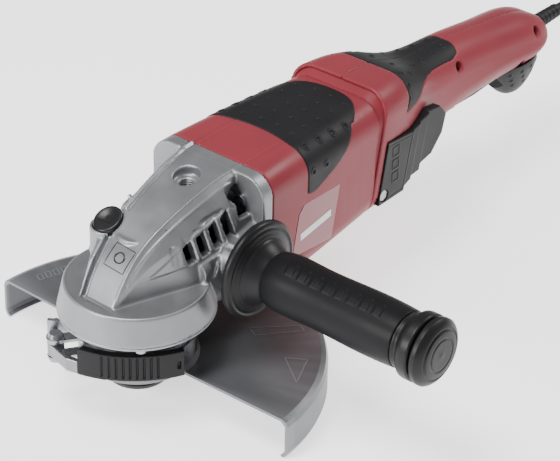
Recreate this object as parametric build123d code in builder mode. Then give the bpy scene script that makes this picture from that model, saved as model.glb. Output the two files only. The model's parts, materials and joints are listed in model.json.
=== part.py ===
"""A 230 mm electric angle grinder, as an assembly of separate pieces.

Frame: the origin is on the spindle axis at the seat of the wheel. +X points to the front of the
gear head, +Y to the operator's left, where the side handle is, and +Z up along the spindle.
The motor axis runs along X. Everything is in millimetres.
"""

from build123d import *
from math import atan2, cos, degrees, hypot, pi, radians, sin, tan
import os

os.makedirs("parts", exist_ok=True)

# ------------------------------------------------------------------ driving dimensions
floor_z = -22.5  # lowest point of the guard, where the tool stands
motor_z = 73.0  # height of the motor axis over the wheel seat
wall = 3.0  # wall of the plastic housings
skin = 1.6  # thickness of the soft grips

guard_radius = 129.0
guard_plate_top = 8.5
sheet = 2.0  # steel sheet of the guard
neck_radius = 35.9  # neck of the bearing cover, which carries the guard
collar_inner = 36.2
band_inner = 38.4
band_outer = 40.4

head_bottom = 46.4  # joint between bearing cover and gear head
disc_top = 66.3
disc_radius_bottom = 53.9
disc_radius_top = 49.3
disc_roof = 62.9  # underside of the head's round roof
junction_x = -82.0  # joint between gear head and motor housing
flange_x = -72.0  # front face of the head's rear flange

spindle_radius = 7.5
thread_radius = 7.0
boss_radius = 11.1  # locating boss of the wheel
boss_height = 2.6
hole_radius = 6.0  # wall of the M14 handle threads
top_hole_x = -51.0
handle_x = -50.0
handle_z = 75.5
handle_boss_y = 50.0

crown_teeth = 48
pinion_teeth = 15
crown_radius = 42.0  # outer end of the crown gear's teeth
tooth_scale = 0.9  # inner end of the teeth, as a share of the outer end
pinion_radius = crown_radius * pinion_teeth / crown_teeth
module_outer = 2 * crown_radius / crown_teeth
addendum = 0.69 * module_outer
dedendum = 1.05 * module_outer
lock_x, lock_y = 3.0, -22.0  # spindle lock
lock_floor = 86.0  # where its spring stands
lock_travel = 4.5
lock_pin_radius = 3.0

stator_radius = 37.5
cord_radius = 4.25
handle_end_x = -450.0
cord_exit_z = 71.0
boot_length = 42.0

# Wedge of the gear head: x, top z, crease y, edge y and z, shoulder y and z, base y
wedge_bottom = 58.5
wedge_stations = [
    (-74, 125.6, 21.8, 27.4, 122.2, 36.0, 110.0, 47.0),
    (-56, 124.0, 19.8, 25.2, 120.4, 33.5, 108.0, 45.5),
    (-40, 120.2, 18.7, 24.0, 116.5, 31.8, 104.5, 42.5),
    (-24, 115.7, 17.6, 22.5, 112.0, 30.0, 100.5, 38.5),
    (-8, 110.0, 16.4, 20.8, 106.2, 27.0, 96.0, 32.5),
    (8, 101.7, 14.8, 18.4, 97.8, 22.5, 90.0, 26.0),
    (22, 89.6, 14.0, 16.5, 85.8, 18.5, 80.0, 20.0),
    (32, 76.5, 13.7, 15.0, 73.6, 15.8, 70.0, 16.2),
    (40, 62.2, 13.4, 13.9, 61.4, 14.1, 60.6, 14.3),
]

# Motor housing: x, half width, bottom z, top z, corner radius
motor_stations = [
    (-82, 49.5, 28.5, 126.3, 17),
    (-120, 47.8, 29.0, 125.8, 18),
    (-160, 45.5, 30.0, 124.4, 19),
    (-205, 42.6, 31.5, 122.4, 20),
    (-222, 41.8, 32.0, 121.6, 20),
]

# Rear body and handle: the same columns
rear_stations = [
    (-195, 43.8, 32.0, 129.2, 18),
    (-216, 43.4, 33.0, 128.5, 19),
    (-234, 42.2, 34.5, 127.6, 20),
    (-250, 39.6, 37.0, 125.6, 21),
    (-268, 35.0, 41.5, 120.0, 21),
    (-284, 30.2, 46.5, 114.6, 21),
    (-300, 27.0, 50.5, 111.6, 21),
    (-320, 25.0, 53.0, 109.8, 21),
    (-350, 24.0, 54.0, 107.6, 21),
    (-380, 24.0, 54.0, 103.2, 21),
    (-413, 24.6, 53.6, 98.4, 20.5),
    (-436, 24.4, 54.4, 93.0, 18.5),
    (-450, 21.0, 58.4, 86.6, 13.5),
]


# ------------------------------------------------------------------ helpers
def rounded_section(x, half_width, bottom, top, radius, inset=0.0):
    """A rounded rectangle across the tool at x, drawn inset from its outer size."""
    with BuildSketch(Plane.YZ.offset(x)) as section:
        with Locations((0, (bottom + top) / 2)):
            RectangleRounded(2 * (half_width - inset), top - bottom - 2 * inset, radius - inset)
    return section.sketch


def hull_of(stations, inset=0.0):
    """The solid that the stations' sections describe."""
    with BuildPart() as hull:
        loft(sections=[rounded_section(*station, inset=inset) for station in stations])
    return hull.part


def wedge_section(station, inset=0.0):
    """One faceted cross-section of the gear head."""
    x, top, crease, edge_y, edge_z, shoulder_y, shoulder_z, base = station
    half = [
        (base - inset, wedge_bottom - inset),
        (shoulder_y - inset, shoulder_z - 0.4 * inset),
        (edge_y - 0.9 * inset, edge_z - 0.8 * inset),
        (crease - 0.5 * inset, top - inset),
    ]
    mirrored = [(-y, z) for y, z in reversed(half)]
    with BuildSketch(Plane.YZ.offset(x)) as section:
        with BuildLine():
            Polyline(*half, *mirrored, close=True)
        make_face()
    return section.sketch


def side_prism(points, reach=80.0):
    """A side-view outline, extruded right across the tool."""
    with BuildPart() as prism:
        with BuildSketch(Plane.XZ):
            with BuildLine():
                Polyline(*points, close=True)
            make_face()
        extrude(amount=reach, both=True)
    return prism.part


def x_cylinder(x_low, x_high, radius, z=motor_z):
    """A cylinder along the motor axis."""
    with BuildPart() as rod:
        with BuildSketch(Plane.YZ.offset(x_low)):
            with Locations((0, z)):
                Circle(radius)
        extrude(amount=x_high - x_low)
    return rod.part


def x_ring(x_low, x_high, outer, inner, z=motor_z):
    """A ring around the motor axis."""
    with BuildPart() as ring:
        with BuildSketch(Plane.YZ.offset(x_low)):
            with Locations((0, z)):
                Circle(outer)
                Circle(inner, mode=Mode.SUBTRACT)
        extrude(amount=x_high - x_low)
    return ring.part


def z_ring(z_low, z_high, outer, inner):
    """A ring around the spindle axis."""
    with BuildPart() as ring:
        with BuildSketch(Plane.XY.offset(z_low)):
            Circle(outer)
            Circle(inner, mode=Mode.SUBTRACT)
        extrude(amount=z_high - z_low)
    return ring.part


def save(label, piece):
    """Label a finished piece and write its solids to its STEP file."""
    solids = piece.solids()
    whole = solids[0] if len(solids) == 1 else Compound(children=list(solids))
    whole.label = label
    export_step(whole, f"parts/{label}.step")


# ------------------------------------------------------------------ gear head
screw_places = [(sy * 30.5, 106.5) for sy in (-1, 1)] + [(sy * 38.0, 41.0) for sy in (-1, 1)]
cover_screw_radius = 48.6
louver_pitch = 10.0
louver_width = 5.8
louver_xs = [-8.0 - louver_pitch * i for i in range(5)]

inner_wedge = [station for station in wedge_stations if station[0] <= 22]

with BuildPart() as gear_head:
    loft(sections=[wedge_section(station) for station in wedge_stations])
    # round base
    with Locations((0, 0, head_bottom)):
        Cone(disc_radius_bottom, disc_radius_top, disc_top - head_bottom,
             align=(Align.CENTER, Align.CENTER, Align.MIN))
    # belly between the base and the rear flange
    belly = [(-24, 40, head_bottom, 80, 8), (-50, 44, 41.0, 88, 10), (-76, 47.5, 31.5, 96, 12)]
    loft(sections=[rounded_section(*station) for station in belly], ruled=True)
    # rear flange
    extrude(rounded_section(flange_x, 49.5, 28.5, 126.3, 17), amount=junction_x - flange_x)
    # bosses for the side handle
    with BuildSketch(Plane.XZ.offset(-handle_boss_y)):
        with Locations((handle_x, handle_z)):
            Circle(13)
    extrude(amount=2 * handle_boss_y)
    # boss around the spindle lock
    with BuildSketch(Plane.XY.offset(wedge_bottom)):
        with Locations((lock_x, lock_y)):
            Circle(12.4)
    extrude(amount=101 - wedge_bottom)

    # gear chamber
    with Locations((0, 0, head_bottom)):
        Cone(44.0, 43.4, disc_roof - head_bottom,
             align=(Align.CENTER, Align.CENTER, Align.MIN), mode=Mode.SUBTRACT)
    loft(sections=[wedge_section(station, 4.5) for station in inner_wedge], mode=Mode.SUBTRACT)
    add(x_cylinder(junction_x, -30, 41), mode=Mode.SUBTRACT)
    # bosses that stand inside the chamber
    with BuildSketch(Plane.XY.offset(98)):
        with Locations((top_hole_x, 0)):
            Circle(11)
    extrude(amount=22)
    with BuildSketch(Plane.XY.offset(80)):
        Circle(12)
    extrude(amount=22)
    with BuildSketch(Plane.XY.offset(80)):
        with Locations((lock_x, lock_y)):
            Circle(12.4)
    extrude(amount=17)
    for side in (-1, 1):
        with BuildSketch(Plane.XZ.offset(-side * handle_boss_y)):
            with Locations((handle_x, handle_z)):
                Circle(11.5)
        extrude(amount=side * 20)
    # threaded hole in the top, with its countersunk mouth
    with Locations((top_hole_x, 0, 112)):
        Cylinder(hole_radius, 40, mode=Mode.SUBTRACT)
    with Locations((top_hole_x, 0, 117.5)):
        Cylinder(9.4, 20, align=(Align.CENTER, Align.CENTER, Align.MIN), mode=Mode.SUBTRACT)
    # threaded holes for the side handle
    with Locations(Location((handle_x, 0, handle_z), (90, 0, 0))):
        Cylinder(hole_radius, 2 * handle_boss_y + 20, mode=Mode.SUBTRACT)
    # seats of the upper spindle bush and the spindle lock
    with Locations((0, 0, 79)):
        Cylinder(8.0, 13, align=(Align.CENTER, Align.CENTER, Align.MIN), mode=Mode.SUBTRACT)
    with Locations((lock_x, lock_y, lock_floor)):
        Cylinder(10.3, 40, align=(Align.CENTER, Align.CENTER, Align.MIN), mode=Mode.SUBTRACT)
    with Locations((lock_x, lock_y, 50)):
        Cylinder(lock_pin_radius + 0.1, 50, align=(Align.CENTER, Align.CENTER, Align.MIN),
                 mode=Mode.SUBTRACT)
    # pockets and holes of the flange screws
    for side in (-1, 1):
        with Locations((-65, side * 42.0, 116)):
            Box(13.9, 34, 36, mode=Mode.SUBTRACT)
    with Locations(*[Location((-60, y, z), (0, 90, 0)) for y, z in screw_places]):
        Cylinder(2.5, 60, mode=Mode.SUBTRACT)
    with Locations(*[Location((-62, y, z), (0, 90, 0)) for y, z in screw_places if z < 60]):
        Cylinder(5.5, 20, mode=Mode.SUBTRACT)
    # air outlets in both flanks
    for side in (-1, 1):
        for x in louver_xs:
            low = 84.0 - 0.12 * (x + 8)
            high = 97.5 - 0.28 * (x + 8)
            with Locations((x, side * 36.0, (low + high) / 2)):
                Box(louver_width, 34, high - low, mode=Mode.SUBTRACT)
    # level seat of the bearing cover, which the belly would cross
    with Locations((0, 0, head_bottom)):
        Cylinder(disc_radius_bottom + 0.1, 20, align=(Align.CENTER, Align.CENTER, Align.MAX), mode=Mode.SUBTRACT)
    # blind holes for the bearing cover's screws
    with PolarLocations(cover_screw_radius, 4, start_angle=45):
        with Locations((0, 0, head_bottom)):
            Cylinder(2.0, 9, align=(Align.CENTER, Align.CENTER, Align.MIN), mode=Mode.SUBTRACT)
save("gear_head", gear_head.part)

# ------------------------------------------------------------------ bearing cover
cover_bottom = 43.9
neck_bottom = 12.0
bearing_z = 30.0

with BuildPart() as bearing_cover:
    with BuildSketch(Plane.XY.offset(cover_bottom)):
        Circle(disc_radius_bottom)
    extrude(amount=head_bottom - cover_bottom)
    fillet(bearing_cover.edges().group_by(Axis.Z)[0], 1.0)
    with BuildSketch(Plane.XY.offset(neck_bottom)):
        Circle(neck_radius)
    extrude(amount=cover_bottom - neck_bottom + 1)
    with BuildSketch(Plane.XY.offset(head_bottom)):
        Circle(43.3)
        Circle(39.0, mode=Mode.SUBTRACT)
    extrude(amount=2.5)
    # relief from below, bearing pocket from above, seal pocket under it
    with BuildSketch(Plane.XY.offset(neck_bottom)):
        Circle(32.5)
        Circle(21.5, mode=Mode.SUBTRACT)
    extrude(amount=26, mode=Mode.SUBTRACT)
    with Locations((0, 0, bearing_z)):
        Cylinder(17.5, 30, align=(Align.CENTER, Align.CENTER, Align.MIN), mode=Mode.SUBTRACT)
    Cylinder(14.0, 200, mode=Mode.SUBTRACT)
    with PolarLocations(cover_screw_radius, 4, start_angle=45):
        Cylinder(2.3, 200, mode=Mode.SUBTRACT)
save("bearing_cover", bearing_cover.part)

with BuildPart() as cover_screws:
    with PolarLocations(cover_screw_radius, 4, start_angle=45):
        with Locations((0, 0, cover_bottom - 2.4)):
            Cylinder(4.0, 2.4, align=(Align.CENTER, Align.CENTER, Align.MIN))
        with Locations((0, 0, cover_bottom)):
            Cylinder(2.0, 10, align=(Align.CENTER, Align.CENTER, Align.MIN))
        with Locations((0, 0, cover_bottom - 2.4)):
            Box(4.6, 1.0, 2.4, mode=Mode.SUBTRACT)
save("bearing_cover_screws", cover_screws.part)

with BuildPart() as head_screws:
    for y, z in screw_places:
        with Locations(Location((flange_x + 0.1, y, z), (0, 90, 0))):
            Cylinder(4.3, 3.2, align=(Align.CENTER, Align.CENTER, Align.MIN))
            Cylinder(2.4, 24, align=(Align.CENTER, Align.CENTER, Align.MAX))
            with Locations((0, 0, 3.2)):
                Box(5.0, 1.1, 2.4, mode=Mode.SUBTRACT)
                Box(1.1, 5.0, 2.4, mode=Mode.SUBTRACT)
save("head_screws", head_screws.part)


# ------------------------------------------------------------------ bearings
def bearing_rings(bore, outer, width):
    """Both rings and the balls of a ball bearing, along Z from the origin up."""
    pitch = (bore + outer) / 2
    ball = 0.27 * (outer - bore)
    inner_land = pitch - 0.55 * ball
    outer_land = pitch + 0.55 * ball
    with BuildPart() as outer_ring:
        Cylinder(outer, width, align=(Align.CENTER, Align.CENTER, Align.MIN))
        Cylinder(outer_land, 3 * width, mode=Mode.SUBTRACT)
        with Locations((0, 0, width / 2)):
            Torus(pitch, ball + 0.06, mode=Mode.SUBTRACT)
    with BuildPart() as inner_ring:
        Cylinder(inner_land, width, align=(Align.CENTER, Align.CENTER, Align.MIN))
        Cylinder(bore, 3 * width, mode=Mode.SUBTRACT)
        with Locations((0, 0, width / 2)):
            Torus(pitch, ball + 0.06, mode=Mode.SUBTRACT)
    with BuildPart() as balls:
        with PolarLocations(pitch, 8):
            with Locations((0, 0, width / 2)):
                Sphere(ball)
    # shields close both ends of the gap and stay clear of the inner ring
    with BuildPart() as shields:
        for z in (0.2, width - 1.0):
            with BuildSketch(Plane.XY.offset(z)):
                Circle(outer_land)
                Circle(inner_land + 0.35, mode=Mode.SUBTRACT)
            extrude(amount=0.8)
    return Compound(children=[*outer_ring.solids(), *balls.solids(), *shields.solids()]), inner_ring.part


def along_x(solid, x_low):
    """Lay a piece built up along Z on the motor axis, from x_low towards +X."""
    return Location((x_low, 0, motor_z), (0, 90, 0)) * solid


spindle_outer, spindle_inner = bearing_rings(spindle_radius, 17.5, 11.0)
save("spindle_bearing_outer", Location((0, 0, bearing_z)) * spindle_outer)
save("spindle_bearing_inner", Location((0, 0, bearing_z)) * spindle_inner)

front_bearing_x = -60.0
front_outer, front_inner = bearing_rings(6.0, 16.0, 10.0)
save("front_bearing_outer", along_x(front_outer, front_bearing_x))
save("front_bearing_inner", along_x(front_inner, front_bearing_x))

rear_bearing_x = -200.0
rear_outer, rear_inner = bearing_rings(5.0, 13.0, 8.0)
save("rear_bearing_outer", along_x(rear_outer, rear_bearing_x))
save("rear_bearing_inner", along_x(rear_inner, rear_bearing_x))

save("spindle_bush", z_ring(80, 92, 8.0, 5.05))

with BuildPart() as dust_seal:
    with BuildSketch(Plane.XY.offset(16)):
        Circle(14.0)
        Circle(spindle_radius + 0.3, mode=Mode.SUBTRACT)
    extrude(amount=6)
    with BuildSketch(Plane.XY.offset(12.5)):
        Circle(14.0)
        Circle(12.0, mode=Mode.SUBTRACT)
    extrude(amount=3.5)
save("dust_seal", dust_seal.part)

# ------------------------------------------------------------------ spindle and crown gear
web_low, web_high = 52.0, 57.4
lock_ring = hypot(lock_x, lock_y)
lock_angle = degrees(atan2(lock_y, lock_x))

with BuildPart() as spindle:
    with BuildSketch(Plane.XZ):
        with BuildLine():
            Polyline((0, -18), (5.8, -18), (7.0, -16.8), (7.0, 8.2), (spindle_radius, 8.2),
                     (spindle_radius, 76), (4.95, 76), (4.95, 91), (0, 91), close=True)
        make_face()
    revolve(axis=Axis.Z)
save("spindle", spindle.part)

with BuildPart() as inner_flange:
    with BuildSketch(Plane.XZ):
        with BuildLine():
            Polyline((7.0, -boss_height), (boss_radius, -boss_height), (boss_radius, 0), (21.0, 0),
                     (21.0, 3.2), (17.0, 5.0), (12.0, 8.2), (7.0, 8.2), close=True)
        make_face()
    revolve(axis=Axis.Z)
save("inner_flange", inner_flange.part)


def gear_height(radius_share, height):
    """z of a point on the crown side: height above the pitch cone, scaled towards the apex."""
    return motor_z - radius_share * (pinion_radius - height)


def tooth_faces(base_plane_at, half_widths, heights, share):
    """A trapezoid of one tooth, scaled towards the gears' common apex."""
    low, high = heights
    wide, narrow = half_widths
    with BuildSketch(base_plane_at(share)) as face:
        with BuildLine():
            Polyline((-wide * share, low * share), (wide * share, low * share),
                     (narrow * share, high * share), (-narrow * share, high * share), close=True)
        make_face()
    return face.sketch


tooth_pitch = pi * module_outer
tooth_half = 0.19 * tooth_pitch
pressure = tan(radians(20))
root_drop = dedendum + 0.35  # the teeth start inside the gear's body


def crown_plane(share):
    """Plane across a crown tooth at azimuth 0: local x is -Y, local y is up."""
    return Plane(origin=(crown_radius * share, 0, motor_z - pinion_radius * share),
                 x_dir=(0, -1, 0), z_dir=(-1, 0, 0))


def pinion_plane(share):
    """Plane across a pinion tooth at the pinion's top: local x is Y, local y is outwards."""
    return Plane(origin=(-crown_radius * share, 0, motor_z + pinion_radius * share),
                 x_dir=(0, 1, 0), z_dir=(1, 0, 0))


with BuildPart() as crown_tooth:
    loft(sections=[tooth_faces(crown_plane,
                               (tooth_half + root_drop * pressure, tooth_half - addendum * pressure),
                               (-root_drop, addendum), share) for share in (tooth_scale, 1.0)])

with BuildPart() as crown_gear:
    with BuildSketch(Plane.XZ):
        with BuildLine():
            Polyline((spindle_radius, 45), (13, 45), (13, web_low), (crown_radius, web_low),
                     (crown_radius, gear_height(1.0, -dedendum)),
                     (crown_radius * tooth_scale, gear_height(tooth_scale, -dedendum)),
                     (36, web_high), (15, web_high), (13, 59.5), (spindle_radius, 59.5), close=True)
        make_face()
    revolve(axis=Axis.Z)
    with PolarLocations(lock_ring, 12, start_angle=lock_angle):
        Cylinder(lock_pin_radius + 0.5, 150, mode=Mode.SUBTRACT)
    with PolarLocations(0, crown_teeth, rotate=True):
        add(crown_tooth.part)
save("crown_gear", crown_gear.part)

with BuildPart() as flange_nut:
    with BuildSketch(Plane.XZ):
        with BuildLine():
            Polyline((thread_radius + 0.06, -10.5), (20.2, -10.5), (21.4, -9.3), (21.4, -7.2),
                     (20.6, -6.8), (20.6, -6.2), (21.4, -5.8), (21.4, -3.2), (13.0, -3.2),
                     (13.0, -5.2), (thread_radius + 0.06, -5.2), close=True)
        make_face()
    revolve(axis=Axis.Z)
    with PolarLocations(15.5, 4, start_angle=45):
        with Locations((0, 0, -10.5)):
            Cylinder(2.5, 3.5, align=(Align.CENTER, Align.CENTER, Align.MIN), mode=Mode.SUBTRACT)
save("flange_nut", flange_nut.part)

# ------------------------------------------------------------------ spindle lock
button_radius = 10.0
button_slope = 26.0  # the button's face leans forward with the head

with BuildPart() as lock_button:
    with Locations((lock_x, lock_y, 93.5)):
        Cylinder(button_radius, 24, align=(Align.CENTER, Align.CENTER, Align.MIN))
    split(bisect_by=Plane(origin=(lock_x, lock_y, 106.5),
                          z_dir=(-sin(radians(button_slope)), 0, -cos(radians(button_slope)))),
          keep=Keep.TOP)
    fillet(lock_button.edges().filter_by(GeomType.ELLIPSE), 1.6)
    with Locations((lock_x, lock_y, 59.6)):
        Cylinder(lock_pin_radius, 34, align=(Align.CENTER, Align.CENTER, Align.MIN))
save("lock_button", lock_button.part)

with BuildPart() as lock_spring:
    for turn in range(3):
        with Locations((lock_x, lock_y, lock_floor + 0.7 + 2.6 * turn)):
            Torus(6.0, 0.6)
save("lock_spring", lock_spring.part)

# ------------------------------------------------------------------ guard and its clamp
rim_bottom = floor_z
collar_top = 30.0

with BuildPart() as guard:
    # pressed half disc with its rim and rolled lip
    with BuildSketch(Plane.XZ):
        with BuildLine():
            Polyline((collar_inner, collar_top), (collar_inner + sheet, collar_top),
                     (collar_inner + sheet, guard_plate_top + 4), (collar_inner + sheet + 4, guard_plate_top),
                     (guard_radius - 5, guard_plate_top), (guard_radius - 1.4, guard_plate_top - 1.4),
                     (guard_radius, guard_plate_top - 5), (guard_radius, -17.0),
                     (guard_radius - 1.2, -20.4), (guard_radius - 4.0, rim_bottom),
                     (guard_radius - 5.4, rim_bottom + 1.5), (guard_radius - 3.0, -19.2),
                     (guard_radius - sheet, -16.4), (guard_radius - sheet, guard_plate_top - 5.4),
                     (guard_radius - 5.4, guard_plate_top - sheet), (collar_inner, guard_plate_top - sheet),
                     close=True)
        make_face()
    revolve(axis=Axis.Z, revolution_arc=-178)
    # the collar goes all the way round
    with BuildSketch(Plane.XY.offset(guard_plate_top - sheet)):
        Circle(collar_inner + sheet)
        Circle(collar_inner, mode=Mode.SUBTRACT)
    extrude(amount=collar_top - guard_plate_top + sheet)
guard_turn = Rotation(0, 0, -91)  # the half disc lies towards the motor
save("guard", guard_turn * guard.part)

lever_pivot_x = 56 * cos(radians(-35))
lever_pivot_y = 56 * sin(radians(-35))
lug_angle = -57.0
gap_angle = -47.0

with BuildPart() as clamp_band:
    with BuildSketch(Plane.XY.offset(12.5)):
        Circle(band_outer)
        Circle(band_inner, mode=Mode.SUBTRACT)
    extrude(amount=15)
    with Locations(Location((0, 0, 20), (0, 0, gap_angle))):
        Box(120, 5.5, 40, align=(Align.MIN, Align.CENTER, Align.CENTER), mode=Mode.SUBTRACT)
    # lug that the tension screw pulls on
    with Locations(Location((0, 0, 20), (0, 0, lug_angle))):
        with Locations((50.5, 0, 0)):
            Box(22, 3, 15)
        with Locations(Location((57, 0, 0), (90, 0, 0))):
            Cylinder(2.6, 20, mode=Mode.SUBTRACT)
    # two ears that hold the lever's rivet
    for z in (12.5, 25.4):
        with BuildSketch(Plane.XY.offset(z)):
            with Locations(Location((0, 0, 0), (0, 0, -35))):
                with Locations((48.0, 0)):
                    Rectangle(17, 9)
                with Locations((56.0, 0)):
                    Circle(6.0)
                    Circle(3.0, mode=Mode.SUBTRACT)
        extrude(amount=2.1)
save("clamp_band", clamp_band.part)

with BuildPart() as lever_rivet:
    with Locations((lever_pivot_x, lever_pivot_y, 10.5)):
        Cylinder(3.0, 20, align=(Align.CENTER, Align.CENTER, Align.MIN))
        Cylinder(5.0, 2.0, align=(Align.CENTER, Align.CENTER, Align.MIN))
    with Locations((lever_pivot_x, lever_pivot_y, 27.5)):
        Cylinder(6.4, 1.4, align=(Align.CENTER, Align.CENTER, Align.MIN))
    with Locations((lever_pivot_x, lever_pivot_y, 28.9)):
        Cone(5.6, 4.2, 3.0, align=(Align.CENTER, Align.CENTER, Align.MIN))
save("lever_rivet", lever_rivet.part)

with BuildPart() as clamp_screw:
    with Locations(Location((0, 0, 20), (0, 0, lug_angle))):
        with Locations(Location((57, 10.5, 0), (90, 0, 0))):
            Cylinder(2.5, 20, align=(Align.CENTER, Align.CENTER, Align.MIN))
        with Locations(Location((57, -1.6, 0), (90, 0, 0))):
            Cylinder(4.6, 4, align=(Align.CENTER, Align.CENTER, Align.MIN))
save("clamp_screw", clamp_screw.part)

with BuildPart() as lever_arm:
    with BuildSketch(Plane.XY.offset(15.0)):
        with Locations((lever_pivot_x, lever_pivot_y)):
            Circle(5.8)
        with BuildLine():
            Polyline((lever_pivot_x - 1, lever_pivot_y + 3), (lever_pivot_x + 5.6, lever_pivot_y),
                     (56.2, -13), (53.0, 0), (47.5, 14), (44.6, 13), (49.6, -1), (51.6, -12), close=True)
        make_face()
        with Locations((lever_pivot_x, lever_pivot_y)):
            Circle(3.08, mode=Mode.SUBTRACT)
    extrude(amount=10)
save("lever_arm", lever_arm.part)

with BuildPart() as lever_grip:
    with BuildSketch(Plane.XY.offset(15.5)):
        with BuildLine():
            outer_arc = ThreePointArc((54.5, -4.5), (35.6, 31.2), (9.5, 50.5))
            inner_arc = ThreePointArc((5.5, 46.3), (30.4, 29.0), (48.0, -5.0))
            Line(outer_arc @ 1, inner_arc @ 0)
            Line(inner_arc @ 1, outer_arc @ 0)
        make_face()
    extrude(amount=20)
    add(lever_arm.part, mode=Mode.SUBTRACT)
save("lever_grip", lever_grip.part)

# ------------------------------------------------------------------ side handle
handle_plane = Plane(origin=(handle_x, 0, handle_z), x_dir=(0, 0, 1), z_dir=(-1, 0, 0))
handle_axis = Axis((handle_x, 0, handle_z), (0, 1, 0))
sleeve_start, sleeve_end = 79.0, 187.0

with BuildPart() as handle_stud:
    with BuildSketch(handle_plane):
        with BuildLine():
            Polyline((0, 31), (5.2, 31), (5.95, 32), (5.95, 50), (10.5, 50), (10.5, 52),
                     (5.95, 52), (5.95, 96), (0, 96), close=True)
        make_face()
    revolve(axis=handle_axis)
save("side_handle_stud", handle_stud.part)

with BuildPart() as handle_core:
    with BuildSketch(handle_plane):
        with BuildLine():
            Polyline((5.95, 52), (20, 52), (29, 56.5), (33.4, 59.5))
            ThreePointArc((33.4, 59.5), (35.0, 62.4), (33.6, 65.6))
            Line((33.6, 65.6), (31.4, 66.6))
            Spline((31.4, 66.6), (24.5, 69.0), (19.0, 76.0), (17.6, sleeve_start))
            Polyline((17.6, sleeve_start), (16.8, sleeve_start), (16.8, sleeve_end), (19.6, sleeve_end),
                     (18.6, 190.5), (20.0, 193.0), (23.2, 194.5), (23.6, 197.0), (23.6, 202.5),
                     (22.0, 203.6), (18.0, 203.6), (18.0, 204.8), (12.0, 204.8), (12.0, 100.0),
                     (5.95, 96.0), (5.95, 52))
        make_face()
    revolve(axis=handle_axis)
save("side_handle_core", handle_core.part)

with BuildPart() as handle_sleeve:
    with BuildSketch(handle_plane):
        with BuildLine():
            Line((16.8, sleeve_start), (18.6, sleeve_start))
            Spline((18.6, sleeve_start), (19.4, 82), (20.2, 110), (20.8, 150), (20.5, 180), (20.0, sleeve_end))
            Line((20.0, sleeve_end), (16.8, sleeve_end))
            Line((16.8, sleeve_end), (16.8, sleeve_start))
        make_face()
    revolve(axis=handle_axis)
save("side_handle_sleeve", handle_sleeve.part)

with BuildPart() as handle_cap:
    with BuildSketch(handle_plane):
        with BuildLine():
            Polyline((0, 196), (11.9, 196), (11.9, 204.8), (22.6, 204.8), (23.6, 205.8), (23.6, 209.0))
            Spline((23.6, 209.0), (20.0, 212.6), (12.0, 214.6), (0, 215.2))
            Line((0, 215.2), (0, 196))
        make_face()
    revolve(axis=handle_axis)
save("side_handle_cap", handle_cap.part)

# ------------------------------------------------------------------ bearing plate
with BuildPart() as bearing_plate:
    add(x_cylinder(junction_x + 0.1, flange_x - 2, 40.8))
    add(x_cylinder(flange_x - 2, -49, 19.2))
    add(x_cylinder(front_bearing_x, -40, 16), mode=Mode.SUBTRACT)
    add(x_cylinder(-90, -40, 8.5), mode=Mode.SUBTRACT)
    for spoke in range(6):
        with Locations(Location((-78, 0, motor_z), (60 * spoke, 0, 0))):
            with Locations(Location((0, 0, 29.5), (0, 90, 0))):
                Cylinder(6.2, 20, mode=Mode.SUBTRACT)
save("bearing_plate", bearing_plate.part)

# ------------------------------------------------------------------ armature
with BuildPart() as pinion_tooth:
    loft(sections=[tooth_faces(pinion_plane,
                               (tooth_half + root_drop * pressure, tooth_half - addendum * pressure),
                               (-root_drop, addendum), share) for share in (1.0, tooth_scale)])

with BuildPart() as pinion:
    with Locations(Location((-crown_radius, 0, motor_z), (0, 90, 0))):
        Cone(pinion_radius - dedendum, tooth_scale * (pinion_radius - dedendum),
             crown_radius * (1 - tooth_scale), align=(Align.CENTER, Align.CENTER, Align.MIN))
    add(x_cylinder(-49.5, -crown_radius, 9.0))
    for tooth in range(pinion_teeth):
        turn = 360 * (tooth + 0.5) / pinion_teeth
        add(pinion_tooth.part.rotate(Axis((0, 0, motor_z), (1, 0, 0)), turn + 180))
    add(x_cylinder(-60, -30, 5.0), mode=Mode.SUBTRACT)
save("pinion", pinion.part)

with BuildPart() as armature_shaft:
    add(x_cylinder(-64, -50, 6.0))
    add(x_cylinder(-50, -35, 5.0))
    add(x_cylinder(-crown_radius * tooth_scale, -34.4, 6.6))
    add(x_cylinder(-192, -64, 7.0))
    add(x_cylinder(-200.1, -192, 5.0))
save("armature_shaft", armature_shaft.part)

core_x = (-166, -114)
with BuildPart() as armature_core:
    add(x_ring(*core_x, 22.0, 7.0))
    for slot in range(12):
        with Locations(Location((-140, 0, motor_z), (30 * slot, 0, 0))):
            with Locations((0, 0, 20.5)):
                Box(60, 1.6, 5, mode=Mode.SUBTRACT)
save("armature_core", armature_core.part)

with BuildPart() as windings:
    for x_start, radius_start, radius_end in ((core_x[1], 19.5, 14.5), (core_x[0] - 9, 14.5, 19.5)):
        with Locations(Location((x_start, 0, motor_z), (0, 90, 0))):
            Cone(radius_start, radius_end, 9, align=(Align.CENTER, Align.CENTER, Align.MIN))
    add(x_cylinder(-180, -100, 7.0), mode=Mode.SUBTRACT)
save("armature_windings", windings.part)

with BuildPart() as commutator:
    add(x_ring(-190, -175, 16.5, 7.0))
    for bar in range(24):
        with Locations(Location((-182.5, 0, motor_z), (15 * bar, 0, 0))):
            with Locations((0, 0, 16.5)):
                Box(12, 0.6, 1.6, mode=Mode.SUBTRACT)
save("commutator", commutator.part)

with BuildPart() as fan:
    add(x_ring(-104, -86, 11.0, 7.0))
    add(x_ring(-104, -102, 37.0, 9.0))
    for blade in range(11):
        with Locations(Location((-94.5, 0, motor_z), (360 / 11 * blade, 0, 0))):
            with Locations((0, 0, 23.5)):
                Box(15.4, 1.6, 26)
save("fan", fan.part)

# ------------------------------------------------------------------ motor housing
# The joint to the rear body leans: its foot is further forward than its top.
lean = (1.0, 0.0, 0.19)
housing_end = Plane(origin=(-202.5, 0, 77), z_dir=lean)
body_start = Plane(origin=(-207.0, 0, 77), z_dir=lean)

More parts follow.
